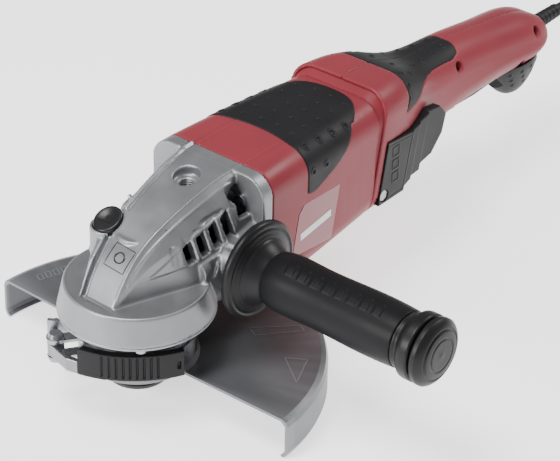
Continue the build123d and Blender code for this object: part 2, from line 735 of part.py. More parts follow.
motor_outer = hull_of(motor_stations)
motor_under = hull_of(motor_stations, skin)
motor_inner = hull_of(motor_stations, wall)

with BuildPart() as grip_region:
    with BuildSketch(Plane.XZ):
        with BuildLine():
            Line((-122, 140), (-121.5, 95))
            Spline((-121.5, 95), (-124, 93.6), (-140, 96.0), (-157, 102.0), (-172, 111.5), (-181, 119.0))
            Polyline((-181, 119), (-215, 119), (-215, 140), (-122, 140))
        make_face()
    extrude(amount=70, both=True)
    with BuildSketch(Plane.XY.offset(60)):
        with BuildLine():
            ThreePointArc((-178, -52), (-206.5, 0), (-178, 52))
            Polyline((-178, 52), (-100, 60), (-100, -60), (-178, -52))
        make_face()
    extrude(amount=100, mode=Mode.INTERSECT)

label_region = side_prism([(-105, 51), (-112, 82), (-118, 87.5), (-160, 83.5), (-151, 43.5)])

with BuildPart() as motor_skin:
    add(motor_outer)
    add(motor_under, mode=Mode.SUBTRACT)

with BuildPart() as motor_grip:
    add(motor_skin.part)
    add(grip_region.part, mode=Mode.INTERSECT)
save("motor_grip", motor_grip.part)

with BuildPart() as label_plates:
    add(motor_skin.part)
    add(label_region, mode=Mode.INTERSECT)
save("label_plates", label_plates.part)

# Everything that is empty inside the housing: the cavity, less what stands in it
with BuildPart() as motor_hollow:
    add(motor_inner)
    split(bisect_by=Plane(origin=(-190, 0, 77), z_dir=(1, 0, 0)), keep=Keep.TOP)
    # ribs that hold the stator
    for x in (-162, -118):
        with Locations((x, 0, motor_z)):
            Box(4, 120, 120, mode=Mode.SUBTRACT)
    add(x_cylinder(-170, -110, stator_radius))

with BuildPart() as neck_hollow:
    add(hull_of(motor_stations, 7.0))
    split(bisect_by=Plane(origin=(-189.5, 0, 77), z_dir=(1, 0, 0)), keep=Keep.BOTTOM)
    # spider that holds the rear bearing
    add(x_ring(-202, -192, 16.5, 13.0), mode=Mode.SUBTRACT)
    add(x_ring(-202, -200.2, 14.0, 9.0), mode=Mode.SUBTRACT)
    for spoke in range(4):
        with Locations(Location((-197, 0, motor_z), (45 + 90 * spoke, 0, 0))):
            with Locations((0, 0, 41.0)):
                Box(8, 5, 52, mode=Mode.SUBTRACT)

with BuildPart() as motor_front:
    add(motor_outer)
    split(bisect_by=housing_end, keep=Keep.TOP)

with BuildPart() as motor_housing:
    # the narrower neck that the rear body closes over
    add(hull_of(motor_stations, 4.2))
    split(bisect_by=body_start, keep=Keep.TOP)
    add(motor_front.part)
    add(motor_hollow.part, mode=Mode.SUBTRACT)
    add(neck_hollow.part, mode=Mode.SUBTRACT)
    add(motor_grip.part, mode=Mode.SUBTRACT)
    add(label_plates.part, mode=Mode.SUBTRACT)
    # threaded holes for the head's screws
    with Locations(*[Location((junction_x, y, z), (0, 90, 0)) for y, z in screw_places]):
        Cylinder(2.4, 28, mode=Mode.SUBTRACT)
save("motor_housing", motor_housing.part)

# ------------------------------------------------------------------ stator
with BuildPart() as stator_core:
    add(x_ring(-168, -112, 33.0, 22.7))
    with Locations((-140, 0, motor_z)):
        Box(80, 26, 90, mode=Mode.INTERSECT)
    add(x_ring(-168, -112, stator_radius, 31.0))
save("stator_core", stator_core.part)

with BuildPart() as stator_coils:
    for x_start in (-174, -112):
        add(x_ring(x_start, x_start + 6, 31.5, 23.5))
    with Locations((-140, 0, motor_z)):
        Box(90, 70, 11, mode=Mode.SUBTRACT)
save("stator_coils", stator_coils.part)

# ------------------------------------------------------------------ brush gear
with BuildPart() as brush_holders:
    for side in (-1, 1):
        with Locations((-182.5, side * 26.0, motor_z)):
            Box(11, 14, 12)
            Box(7.04, 40, 7.04, mode=Mode.SUBTRACT)
        with Locations((-182.5, side * 35.0, motor_z)):
            Box(13, 4, 20)
            Box(3.4, 10, 3.4, mode=Mode.SUBTRACT)
save("brush_holders", brush_holders.part)

with BuildPart() as carbon_brushes:
    for side in (-1, 1):
        with Locations((-182.5, side * 23.4, motor_z)):
            Box(7, 13, 7)
    add(x_cylinder(-195, -170, 16.6), mode=Mode.SUBTRACT)
save("carbon_brushes", carbon_brushes.part)

with BuildPart() as brush_springs:
    for side in (-1, 1):
        for turn in range(2):
            with Locations(Location((-182.5, side * (31.0 + 1.0 * turn), motor_z), (90, 0, 0))):
                Torus(2.6, 0.4)
save("brush_springs", brush_springs.part)

# ------------------------------------------------------------------ rear body and handle
rear_outer = hull_of(rear_stations)
rear_under = hull_of(rear_stations, skin)
rear_inner = hull_of(rear_stations[:-1], wall)

saddle_region = side_prism([
    (-249.5, 140), (-248.5, 122), (-246, 112), (-240, 103.0), (-256, 103.8), (-275, 107.0),
    (-300, 105.5), (-326, 102.5), (-334, 104.0), (-338, 108.0), (-338, 140)])

# Side covers over the brushes: front plate and three louvred steps, lower x first
cover_steps = [
    ([(-206.8, 42.0), (-216.5, 90.0), (-247.0, 87.0), (-236.5, 42.0)], 44.6),
    ([(-236.5, 42.5), (-247.0, 87.0), (-256.5, 89.0), (-246.5, 46.5)], 43.2),
    ([(-246.5, 47.0), (-256.5, 89.0), (-268.5, 91.5), (-258.5, 48.0)], 41.8),
    ([(-258.5, 50.0), (-268.5, 91.5), (-284.0, 89.5), (-292.0, 80.0), (-288.0, 66.0), (-276.0, 53.5)], 39.6),
]
cover_inner_y = 33.0

with BuildPart() as cover_blank:
    for outline, y_top in cover_steps:
        with BuildSketch(Plane.XZ.offset(-cover_inner_y)):
            with BuildLine():
                Polyline(*outline, close=True)
            make_face()
        extrude(amount=-(y_top - cover_inner_y))
cover_left_blank = cover_blank.part
cover_right_blank = cover_left_blank.mirror(Plane.XZ)
cover_screw_x, cover_screw_z = -213.2, 48.0

shell_screw_places = [(-262, 56), (-300, 66), (-330, 96), (-415, 62), (-432, 84)]

trigger_x = (-408.0, -336.0)
trigger_half = 9.0
trigger_pivot_x, trigger_pivot_z = -402.0, 61.0
pommel_sections = [(60, -423, 33, 21.5), (46, -428, 27.5, 17.5), (34, -431.5, 19.5, 12.0),
                   (26.5, -433, 11.5, 7.0), (23.6, -433.5, 5.0, 3.0)]

with BuildPart() as pommel_grip:
    pommel_faces = []
    for z, x, radius_x, radius_y in pommel_sections:
        with BuildSketch(Plane.XY.offset(z), mode=Mode.PRIVATE) as oval:
            with Locations((x, 0)):
                Ellipse(radius_x, radius_y)
        pommel_faces.append(oval.sketch)
    loft(sections=pommel_faces)
    add(rear_outer, mode=Mode.SUBTRACT)
    # room for the trigger's rear end
    with Locations((-380, 0, 52)):
        Box(59, 2 * trigger_half + 1.2, 30, mode=Mode.SUBTRACT)
save("pommel_grip", pommel_grip.part)

with BuildPart() as rear_skin:
    add(rear_outer)
    add(rear_under, mode=Mode.SUBTRACT)
    add(saddle_region, mode=Mode.INTERSECT)

with BuildPart() as rear_hollow:
    add(rear_inner)
    split(bisect_by=Plane(origin=(-434, 0, 0), z_dir=(1, 0, 0)), keep=Keep.TOP)
    # posts for the screws that join the two halves
    for x, z in shell_screw_places:
        with Locations(Location((x, 0, z), (90, 0, 0))):
            Cylinder(4.5, 120, mode=Mode.SUBTRACT)

with BuildPart() as rear_body:
    add(rear_outer)
    split(bisect_by=body_start, keep=Keep.BOTTOM)
    add(rear_hollow.part, mode=Mode.SUBTRACT)
    add(rear_skin.part, mode=Mode.SUBTRACT)
    add(cover_left_blank, mode=Mode.SUBTRACT)
    add(cover_right_blank, mode=Mode.SUBTRACT)
    for x, z in shell_screw_places:
        with Locations(Location((x, 0, z), (90, 0, 0))):
            Cylinder(1.8, 40, mode=Mode.SUBTRACT)
        with Locations((x, 22, z)):
            with Locations(Location((0, 0, 0), (90, 0, 0))):
                Cylinder(3.8, 16, mode=Mode.SUBTRACT)
    # holes for the side covers' screws
    with Locations(Location((cover_screw_x, 0, cover_screw_z), (90, 0, 0))):
        Cylinder(2.2, 120, mode=Mode.SUBTRACT)
    # trigger opening
    with Locations(((trigger_x[0] + trigger_x[1]) / 2, 0, 52)):
        Box(trigger_x[1] - trigger_x[0] + 2.4, 2 * trigger_half + 1.2, 20, mode=Mode.SUBTRACT)
    # stubs that the trigger turns on
    with Locations(Location((trigger_pivot_x, 0, trigger_pivot_z), (90, 0, 0))):
        Cylinder(1.5, 36)
    # cord outlet
    add(x_cylinder(-460, -430, 6.2, cord_exit_z), mode=Mode.SUBTRACT)
    add(x_cylinder(-442, -436, 9.0, cord_exit_z), mode=Mode.SUBTRACT)

for name, keep_side, is_left in (("left", Keep.BOTTOM, True), ("right", Keep.TOP, False)):
    with BuildPart() as half:
        add(rear_body.part)
        split(bisect_by=Plane.XZ, keep=keep_side)
    save(f"rear_shell_{name}", half.part)
    with BuildPart() as saddle:
        add(rear_skin.part)
        split(bisect_by=Plane.XZ, keep=keep_side)
    save(f"saddle_grip_{name}", saddle.part)
    with BuildPart() as cover:
        add(cover_left_blank if is_left else cover_right_blank)
        with Locations(Location((cover_screw_x, 0, cover_screw_z), (90, 0, 0))):
            Cylinder(2.2, 120, mode=Mode.SUBTRACT)
        with Locations((cover_screw_x, 46 if is_left else -46, cover_screw_z)):
            with Locations(Location((0, 0, 0), (90, 0, 0))):
                Cylinder(4.6, 9, mode=Mode.SUBTRACT)
    save(f"side_cover_{name}", cover.part)

with BuildPart() as shell_screws:
    for x, z in shell_screw_places:
        with Locations(Location((x, 14.0, z), (90, 0, 0))):
            Cylinder(3.4, 2.4, align=(Align.CENTER, Align.CENTER, Align.MAX))
            Cylinder(1.8, 24, align=(Align.CENTER, Align.CENTER, Align.MIN))
    for side in (-1, 1):
        with Locations(Location((cover_screw_x, side * 41.5, cover_screw_z), (-90 * side, 0, 0))):
            Cylinder(4.0, 2.2, align=(Align.CENTER, Align.CENTER, Align.MIN))
            Cylinder(2.1, 8, align=(Align.CENTER, Align.CENTER, Align.MAX))
save("shell_screws", shell_screws.part)

# ------------------------------------------------------------------ switch gear
with BuildPart() as trigger:
    with BuildSketch(Plane.XZ.offset(-trigger_half)):
        with BuildLine():
            Polyline((-406.5, 58.0), (-402, 65.0), (-396, 64.0), (-342, 60.5), (-337.6, 59.0), (-337.6, 53.0),
                     (-343, 50.6), (-372, 49.6), (-398, 51.0), (-406.5, 54.5), close=True)
        make_face()
    extrude(amount=2 * trigger_half)
    with Locations(Location((trigger_pivot_x, 0, trigger_pivot_z), (90, 0, 0))):
        Cylinder(1.56, 40, mode=Mode.SUBTRACT)
    # slot for the lock-off slide
    with Locations((-347, 0, 55)):
        Box(13, 6.6, 30, mode=Mode.SUBTRACT)
save("trigger", trigger.part)

with BuildPart() as lock_off:
    with Locations((-348.5, 0, 46.7)):
        Box(10, 9, 5.4)
    fillet(lock_off.edges().group_by(Axis.Z)[0], 2.0)
    with Locations((-349.0, 0, 53.5)):
        Box(6, 6, 12)
save("lock_off", lock_off.part)

with BuildPart() as switch_body:
    with Locations((-362, 0, 84)):
        Box(44, 24, 24)
    with Locations((-362, 0, 70.5)):
        Box(8, 8, 4)
save("switch_body", switch_body.part)

with BuildPart() as cable_clamp:
    with Locations((-425, 0, cord_exit_z - 6.5)):
        Box(9, 24, 4)
    with Locations((-425, 0, cord_exit_z + 6.0)):
        Box(9, 24, 3)
save("cable_clamp", cable_clamp.part)

# ------------------------------------------------------------------ cord
boot_end_x = handle_end_x - boot_length

with BuildPart() as strain_relief:
    with BuildSketch(Plane.XZ):
        with BuildLine():
            Polyline((-441.5, cord_exit_z), (-441.5, cord_exit_z + 8.8), (-436.5, cord_exit_z + 8.8),
                     (-436.5, cord_exit_z), close=True)
        make_face()
        with BuildLine():
            Polyline((-441.5, cord_exit_z), (-441.5, cord_exit_z + 6.1), (-450.2, cord_exit_z + 6.1),
                     (-450.2, cord_exit_z + 9.6), (-452.6, cord_exit_z + 10.2), (-456.5, cord_exit_z + 9.2),
                     (-457.2, cord_exit_z + 7.0), (-459.5, cord_exit_z + 6.4), (boot_end_x, cord_exit_z + 5.4),
                     (boot_end_x, cord_exit_z), close=True)
        make_face()
    revolve(axis=Axis((0, 0, cord_exit_z), (1, 0, 0)))
    add(x_cylinder(-500, -430, cord_radius, cord_exit_z), mode=Mode.SUBTRACT)
save("strain_relief", strain_relief.part)

lying_z = floor_z + cord_radius  # centre line of a cord that lies on the floor
coil_x, coil_y = -578.2, 91.1
coil_mean = 47.0  # mean radius of the turns
coil_width = 4 * 2 * cord_radius  # the turns lie four wide and two high
coil_height = 2 * 2 * cord_radius
coil_outer = coil_mean + coil_width / 2
coil_inner = coil_mean - coil_width / 2

# From the boot back and down to the floor, then round into the side of the coil
cord_route = [
    (boot_end_x, 0.0, cord_exit_z),
    (-519.0, 0.0, 70.0),
    (-544.0, 1.0, 59.5),
    (-561.0, 5.0, 39.0),
    (-576.0, 11.0, 18.0),
    (-591.0, 20.0, -2.5),
    (-609.0, 34.0, -15.5),
    (-625.0, 54.5, lying_z),
]


def cord_path(route):
    """The route as straight runs and tangent arcs, as large as the runs allow."""
    points = [Vector(*point) for point in route]
    radii = []
    for before, at, after in zip(points, points[1:], points[2:]):
        turn = radians((at - before).get_angle(after - at))
        run = min((at - before).length, (after - at).length)
        radii.append(0.45 * run / tan(turn / 2))
    print("cord arc radii", [round(radius, 1) for radius in radii])
    return FilletPolyline(*points, radius=radii)


def tube(route):
    """A round cord along the route."""
    with BuildPart() as cord:
        with BuildLine() as path:
            cord_path(route)
        with BuildSketch(Plane(origin=path.line @ 0, z_dir=path.line % 0)):
            Circle(cord_radius)
        sweep()
    length = sum(edge.length for edge in path.edges())
    share = cord.part.volume / (length * pi * cord_radius**2)
    print("cord run", round(length, 1), "mm, volume over section times length", round(share, 4))
    return cord.part


# The free end leaves the coil's side and lies beside it, up to the plug
tail_route = [
    (-578.2, 150.5, lying_z),
    (-554.2, 153.1, lying_z),
    (-530.2, 147.1, lying_z),
    (-512.2, 133.1, lying_z),
]

with BuildPart() as cord_coil:
    with BuildSketch(Plane.XY.offset(floor_z)):
        with Locations((coil_x, coil_y)):
            Circle(coil_outer)
            Circle(coil_inner, mode=Mode.SUBTRACT)
    extrude(amount=coil_height)
    fillet(cord_coil.edges(), cord_radius * 0.9)
save("cord_coil", cord_coil.part)

with BuildPart() as inner_lead:
    add(x_cylinder(boot_end_x, -416, cord_radius, cord_exit_z))

main_run = tube(cord_route)
tail_run = tube(tail_route)
save("cord_tube", Compound(children=[inner_lead.part, main_run, tail_run]))

# Plug: a grip that widens to the face with its two pins, lying beside the coil
plug_direction = (Vector(*tail_route[-1]) - Vector(*tail_route[-2])).normalized()
plug_plane = Plane(origin=tail_route[-1], x_dir=(0, 0, 1), z_dir=plug_direction)
plug_length = 46.0
plug_sections = [(0, 8.4, 8.4, 3.9), (10, 8.4, 14.0, 3.9), (24, 8.4, 20.0, 3.9), (plug_length, 8.4, 34.0, 3.9)]
pin_spread = 9.5  # half the distance between the pins

with BuildPart() as plug_body:
    plug_faces = []
    for along, height, width, corner in plug_sections:
        with BuildSketch(plug_plane.offset(along), mode=Mode.PRIVATE) as face:
            RectangleRounded(height, width, corner)
        plug_faces.append(face.sketch)
    loft(sections=plug_faces)
save("plug_body", plug_body.part)

with BuildPart() as plug_pins:
    with BuildSketch(plug_plane.offset(plug_length)):
        with Locations((0, pin_spread), (0, -pin_spread)):
            Circle(2.4)
    extrude(amount=19)
save("plug_pins", plug_pins.part)
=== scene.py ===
"""The looks of the angle grinder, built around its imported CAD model.

Lengths in the tables and calls are millimetres in the part's own frame, and MM turns them
into metres.
"""
import json
from math import cos, pi, radians, sin

import bmesh
import bpy
import numpy as np
from mathutils import Matrix, Vector
from mathutils.bvhtree import BVHTree


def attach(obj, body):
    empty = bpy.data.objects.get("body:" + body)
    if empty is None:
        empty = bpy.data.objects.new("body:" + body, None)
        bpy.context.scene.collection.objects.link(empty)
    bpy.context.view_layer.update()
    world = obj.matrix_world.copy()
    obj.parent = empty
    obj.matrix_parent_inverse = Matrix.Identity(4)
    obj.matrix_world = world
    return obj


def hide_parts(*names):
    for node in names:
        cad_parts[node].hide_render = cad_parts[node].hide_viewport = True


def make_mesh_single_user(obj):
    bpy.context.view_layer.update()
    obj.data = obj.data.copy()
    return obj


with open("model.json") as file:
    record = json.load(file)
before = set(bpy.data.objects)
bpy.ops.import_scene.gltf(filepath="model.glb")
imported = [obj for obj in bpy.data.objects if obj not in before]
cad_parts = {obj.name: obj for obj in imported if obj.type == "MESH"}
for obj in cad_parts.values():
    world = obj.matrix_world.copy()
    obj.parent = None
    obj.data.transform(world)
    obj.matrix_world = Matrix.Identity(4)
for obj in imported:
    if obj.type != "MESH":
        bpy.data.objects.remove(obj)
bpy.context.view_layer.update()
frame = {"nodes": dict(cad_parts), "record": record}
MM = 0.001
FLOOR_Z = -22.5


def link(thing):
    bpy.context.scene.collection.objects.link(thing)
    return thing


def own_mesh(thing):
    """The thing's mesh with its modifiers applied."""
    bpy.context.view_layer.update()
    seen = thing.evaluated_get(bpy.context.evaluated_depsgraph_get())
    return bpy.data.meshes.new_from_object(seen)


# ------------------------------------------------------------------ camera
CAMERA_PLACE = (1.0579, 0.9756, 1.0279)  # metres
CAMERA_YAW, CAMERA_PITCH, CAMERA_ROLL = 218.907, 32.706, 1.008  # degrees


def add_camera():
    data = bpy.data.cameras.new("camera")
    data.lens = 167.1
    data.sensor_width = 36.0
    camera = link(bpy.data.objects.new("camera", data))
    yaw, pitch, roll = radians(CAMERA_YAW), radians(CAMERA_PITCH), radians(CAMERA_ROLL)
    camera.matrix_world = (
        Matrix.Translation(CAMERA_PLACE)
        @ Matrix.Rotation(yaw - pi / 2, 4, "Z")
        @ Matrix.Rotation(pi / 2 - pitch, 4, "X")
        @ Matrix.Rotation(roll, 4, "Z")
    )
    bpy.context.scene.camera = camera


add_camera()


# ------------------------------------------------------------------ materials
class Nodes:
    """A material's node tree, with short calls for what the finishes share."""

    def __init__(self, name):
        self.material = bpy.data.materials.new(name)
        self.material.use_nodes = True
        self.tree = self.material.node_tree
        self.shader = self.tree.nodes["Principled BSDF"]
        self.place = self.add("ShaderNodeTexCoord").outputs["Object"]

    def add(self, kind, **settings):
        node = self.tree.nodes.new(kind)
        for name, value in settings.items():
            setattr(node, name, value)
        return node

    def join(self, start, end):
        self.tree.links.new(start, end)

    def noise(self, size, stretch=(1, 1, 1)):
        """Noise whose features are about size millimetres across."""
        mapping = self.add("ShaderNodeMapping")
        mapping.inputs["Scale"].default_value = stretch
        self.join(self.place, mapping.inputs["Vector"])
        node = self.add("ShaderNodeTexNoise")
        node.inputs["Scale"].default_value = 1 / (size * MM)
        node.inputs["Detail"].default_value = 2.0
        self.join(mapping.outputs["Vector"], node.inputs["Vector"])
        return node.outputs["Fac"]

    def spread(self, value, low, high, start=0.3, end=0.7):
        """The value's range from start to end, stretched to low and high."""
        node = self.add("ShaderNodeMapRange")
        node.inputs["From Min"].default_value = start
        node.inputs["From Max"].default_value = end
        node.inputs["To Min"].default_value = low
        node.inputs["To Max"].default_value = high
        self.join(value, node.inputs["Value"])
        return node.outputs["Result"]

    def colour(self, share, first, second):
        """First colour where the share is 0, second where it is 1."""
        node = self.add("ShaderNodeMix", data_type="RGBA")
        self.join(share, node.inputs["Factor"])
        for slot, value in ((6, first), (7, second)):
            if isinstance(value, tuple):
                node.inputs[slot].default_value = (*value, 1.0)
            else:
                self.join(value, node.inputs[slot])
        return node.outputs[2]

    def bump(self, value, depth):
        """Gives the surface relief of that depth in millimetres."""
        node = self.add("ShaderNodeBump")
        node.inputs["Strength"].default_value = 1.0
        node.inputs["Distance"].default_value = depth * MM
        self.join(value, node.inputs["Height"])
        self.join(node.outputs["Normal"], self.shader.inputs["Normal"])


def tinted(colour, share):
    return tuple(min(1.0, c * share) for c in colour)


def finish(name, colour, rough, metal=0.0, grain=0.5, depth=0.02, patch=30.0, vary=0.12,
           worn=0.0, brushed=(1, 1, 1), specular=0.5):
    """A finish with a fine grain, slow changes of tone and gloss, and rubbed edges.

    grain and patch are the sizes of the fine and the slow changes, and depth is the grain's.
    """
    n = Nodes(name)
    shader = n.shader
    shader.inputs["Metallic"].default_value = metal
    shader.inputs["Specular IOR Level"].default_value = specular
    slow = n.noise(patch)
    fine = n.noise(grain, brushed)
    tone = n.colour(n.spread(slow, 0, 1), tinted(colour, 1 - vary), tinted(colour, 1 + vary))
    tone = n.colour(n.spread(fine, 0, 0.35), tone, tinted(colour, 0.8))
    if worn:
        edge = n.spread(n.add("ShaderNodeNewGeometry").outputs["Pointiness"], 0, worn, 0.515, 0.57)
        tone = n.colour(edge, tone, tinted(colour, 1.7))
    n.join(tone, shader.inputs["Base Color"])
    n.join(n.spread(slow, rough - 0.05, rough + 0.07), shader.inputs["Roughness"])
    n.bump(fine, depth)
    return n.material


def copper_finish():
    """Varnished wire: fine strands side by side."""
    n = Nodes("copper")
    wave = n.add("ShaderNodeTexWave", bands_direction="X")
    wave.inputs["Scale"].default_value = 400.0
    wave.inputs["Distortion"].default_value = 1.5
    n.join(n.place, wave.inputs["Vector"])
    tone = n.colour(wave.outputs["Fac"], (0.30, 0.11, 0.05), (0.72, 0.34, 0.16))
    n.join(tone, n.shader.inputs["Base Color"])
    n.shader.inputs["Metallic"].default_value = 0.9
    n.shader.inputs["Roughness"].default_value = 0.35
    n.bump(wave.outputs["Fac"], 0.2)
    return n.material


FINISHES = {
    "cast_aluminium": dict(colour=(0.25, 0.255, 0.265), rough=0.40, metal=0.70, grain=0.7,
        depth=0.03, patch=22.0, vary=0.10, worn=0.75),
    "machined_aluminium": dict(colour=(0.46, 0.47, 0.48), rough=0.33, metal=0.9, grain=0.5,
        depth=0.01, patch=20.0, vary=0.08),
    "bright_steel": dict(colour=(0.50, 0.50, 0.51), rough=0.24, metal=1.0, grain=0.4, depth=0.006,
        patch=15.0, vary=0.10),
    "dark_steel": dict(colour=(0.030, 0.029, 0.029), rough=0.42, metal=0.5, grain=0.5,
        depth=0.015, patch=12.0, vary=0.25, worn=0.8),
    "zinc_steel": dict(colour=(0.27, 0.27, 0.285), rough=0.30, metal=1.0, grain=0.6, depth=0.012,
        patch=10.0, vary=0.12, worn=0.4),
    "guard_paint": dict(colour=(0.12, 0.123, 0.13), rough=0.36, metal=0.45, grain=0.6,
        depth=0.015, patch=35.0, vary=0.08, worn=0.9),
    "red_plastic": dict(colour=(0.235, 0.030, 0.041), rough=0.40, metal=0.0, grain=0.45,
        depth=0.008, patch=60.0, vary=0.07, specular=0.22),
    "black_plastic": dict(colour=(0.0085, 0.0085, 0.0095), rough=0.40, metal=0.0, grain=0.5,
        depth=0.015, patch=30.0, vary=0.18, worn=0.35, specular=0.22),
    "soft_grip": dict(colour=(0.0095, 0.0095, 0.0108), rough=0.50, metal=0.0, grain=0.6,
        depth=0.03, patch=25.0, vary=0.16, worn=0.3, specular=0.20),
    "handle_rubber": dict(colour=(0.0062, 0.0062, 0.0072), rough=0.46, metal=0.0, grain=0.7,
        depth=0.03, patch=28.0, vary=0.2, worn=0.3, specular=0.15),
    "cord_rubber": dict(colour=(0.009, 0.009, 0.010), rough=0.50, metal=0.0, grain=0.8,
        depth=0.03, patch=15.0, vary=0.2, specular=0.32),
    "seal_rubber": dict(colour=(0.010, 0.010, 0.010), rough=0.6, metal=0.0, grain=0.5, depth=0.02,
        patch=8.0, vary=0.2, specular=0.3),
    "lock_black": dict(colour=(0.0075, 0.0075, 0.0085), rough=0.32, metal=0.0, grain=0.4,
        depth=0.01, patch=12.0, vary=0.2, worn=0.25, specular=0.38),
    "label_silver": dict(colour=(0.270, 0.095, 0.108), rough=0.36, metal=0.15, grain=0.3,
        depth=0.004, patch=30.0, vary=0.05),
    "laminated_iron": dict(colour=(0.20, 0.20, 0.21), rough=0.45, metal=0.9, grain=0.5,
        depth=0.12, patch=10.0, vary=0.2, worn=0.0, brushed=(1, 0.02, 0.02)),
    "brass": dict(colour=(0.66, 0.47, 0.20), rough=0.32, metal=1.0, grain=0.5, depth=0.01,
        patch=10.0, vary=0.15),
    "carbon": dict(colour=(0.03, 0.03, 0.032), rough=0.6, metal=0.1, grain=0.4, depth=0.03,
        patch=6.0, vary=0.25),
    "cream_plastic": dict(colour=(0.62, 0.57, 0.46), rough=0.45, metal=0.0, grain=0.5, depth=0.01,
        patch=15.0, vary=0.06),
    # black for the badge's lines: painted shade of the engraved outline's groove
    "groove_shade_black": dict(colour=(0.010, 0.010, 0.011), rough=0.45, metal=0.0, grain=0.4,
        depth=0.004, patch=10.0, vary=0.1),
    "white_print": dict(colour=(0.78, 0.77, 0.76), rough=0.45, metal=0.0, grain=0.4, depth=0.004,
        patch=10.0, vary=0.04),
    "red_seam": dict(colour=(0.045, 0.004, 0.006), rough=0.5, metal=0.0, grain=0.5, depth=0.01,
        patch=20.0, vary=0.1),
}
LOOKS = {name: finish(name, **values) for name, values in FINISHES.items()}
LOOKS["copper"] = copper_finish()
SLOTS = {entry["node"]: entry["material_slot"] for entry in frame["record"]["subparts"]}
BODIES = {
    node: body for body, nodes in frame["record"]["behaviour"]["bodies"].items() for node in nodes
}


def dress(piece, slot):
    piece.data.materials.clear()
    piece.data.materials.append(LOOKS[slot])


for node, thing in frame["nodes"].items():
    dress(thing, SLOTS[node])


def shaded(piece, angle=40.0):
    """Smooth shading that keeps edges sharper than the angle."""
    piece.data.shade_smooth()
    if piece.type == "MESH":
        piece.data.set_sharp_from_angle(angle=radians(angle))
    return piece


def adopt(piece, node=None, body="tool", slot=None, look=None):
    """Rides the piece on its body and gives it its finish.

    With a node, the piece stands for that node. The look is the slot's own unless one is given.
    """
    slot = slot or SLOTS[node]
    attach(piece, BODIES[node] if node else body)
    if node:
        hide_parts(node)
    dress(piece, look or slot)
    return piece


# ------------------------------------------------------------------ cord
CORD = 8.5
LYING = FLOOR_Z + CORD / 2
BOOT_END = -492.0
CORD_EXIT_Z = 71.0
ROUTE = [(BOOT_END, 0, CORD_EXIT_Z), (-519, 0, 70), (-544, 1, 59.5), (-561, 5, 39),
         (-576, 11, 18), (-591, 20, -2.5), (-609, 34, -15.5), (-625, 54.5, LYING)]
TAIL = [(-554.2, 153.1, LYING), (-530.2, 147.1, LYING), (-512.2, 133.1, LYING)]
COIL_X, COIL_Y, COIL_MEAN = -578.2, 91.1, 47.0
COIL_START = 218  # degrees
TURN_STEPS = 16
COIL_STEPS = 7 * TURN_STEPS + 6
LOWER_TURNS = 4
CLIMB_START = 3.75  # the turn at which the cord begins to climb to the upper layer


def coil_points():
    """Four turns inwards on the floor, then over three outwards on top of them."""
    points = []
    for step in range(1, COIL_STEPS):
        turn = step / TURN_STEPS
        angle = radians(COIL_START) - 2 * pi * turn
        layer = min(1.0, max(0.0, (turn - CLIMB_START) * 3))
        if turn < LOWER_TURNS:
            radius = COIL_MEAN + 1.5 * CORD - min(turn, 3.5) * CORD * 0.8
        else:
            radius = COIL_MEAN - 1.25 * CORD + max(0.0, turn - 4.15) * CORD * 0.82
        x, y = COIL_X + radius * cos(angle), COIL_Y + radius * sin(angle)
        points.append((x, y, LYING + CORD * layer))
    return points


def add_cord():
    data = bpy.data.curves.new("mains_cord", "CURVE")
    data.dimensions = "3D"
    spline = data.splines.new("NURBS")
    points = [*ROUTE, *coil_points(), *TAIL]
    spline.points.add(len(points) - 1)
    for point, place in zip(spline.points, points):
        point.co = (*(value * MM for value in place), 1.0)
        point.radius = CORD / 2 * MM
    spline.order_u = 3
    spline.use_endpoint_u = True
    spline.resolution_u = 6
    data.bevel_depth = 1.0  # times the points' radius
    data.bevel_resolution = 5
    data.use_fill_caps = True
    cord = link(bpy.data.objects.new("mains_cord", data))
    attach(cord, "tool")
    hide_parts("cord_tube", "cord_coil")
    dress(cord, "cord_rubber")
    return cord


mains_cord = add_cord()


# ------------------------------------------------------------------ relief on dense meshes
# the two axes that a drawing lies in, and the axis and way that its surface faces
VIEWS = {"top": (0, 1, 2, 1), "left": (0, 2, 1, 1), "right": (0, 2, 1, -1)}


def merged(meshes):
    """One mesh that holds all of the meshes."""
    shape = bmesh.new()
    for mesh in meshes:
        shape.from_mesh(mesh)
    whole = bpy.data.meshes.new("merged")
    shape.to_mesh(whole)
    shape.free()
    return whole


def solid(rings):
    """A closed mesh through rings of points in millimetres, each with the same number of points."""
    size = len(rings[0])
    points = [[value * MM for value in point] for ring in rings for point in ring]
    faces = [tuple(range(size)), tuple(range((len(rings) - 1) * size, len(rings) * size))]
    for row in range(len(rings) - 1):
        base = row * size
        faces += [(base + k, base + (k + 1) % size, base + size + (k + 1) % size, base + size + k)
                  for k in range(size)]
    mesh = bpy.data.meshes.new("solid")
    mesh.from_pydata(points, [], faces)
    shape = bmesh.new()
    shape.from_mesh(mesh)
    bmesh.ops.recalc_face_normals(shape, faces=shape.faces)
    shape.to_mesh(mesh)
    shape.free()
    return mesh


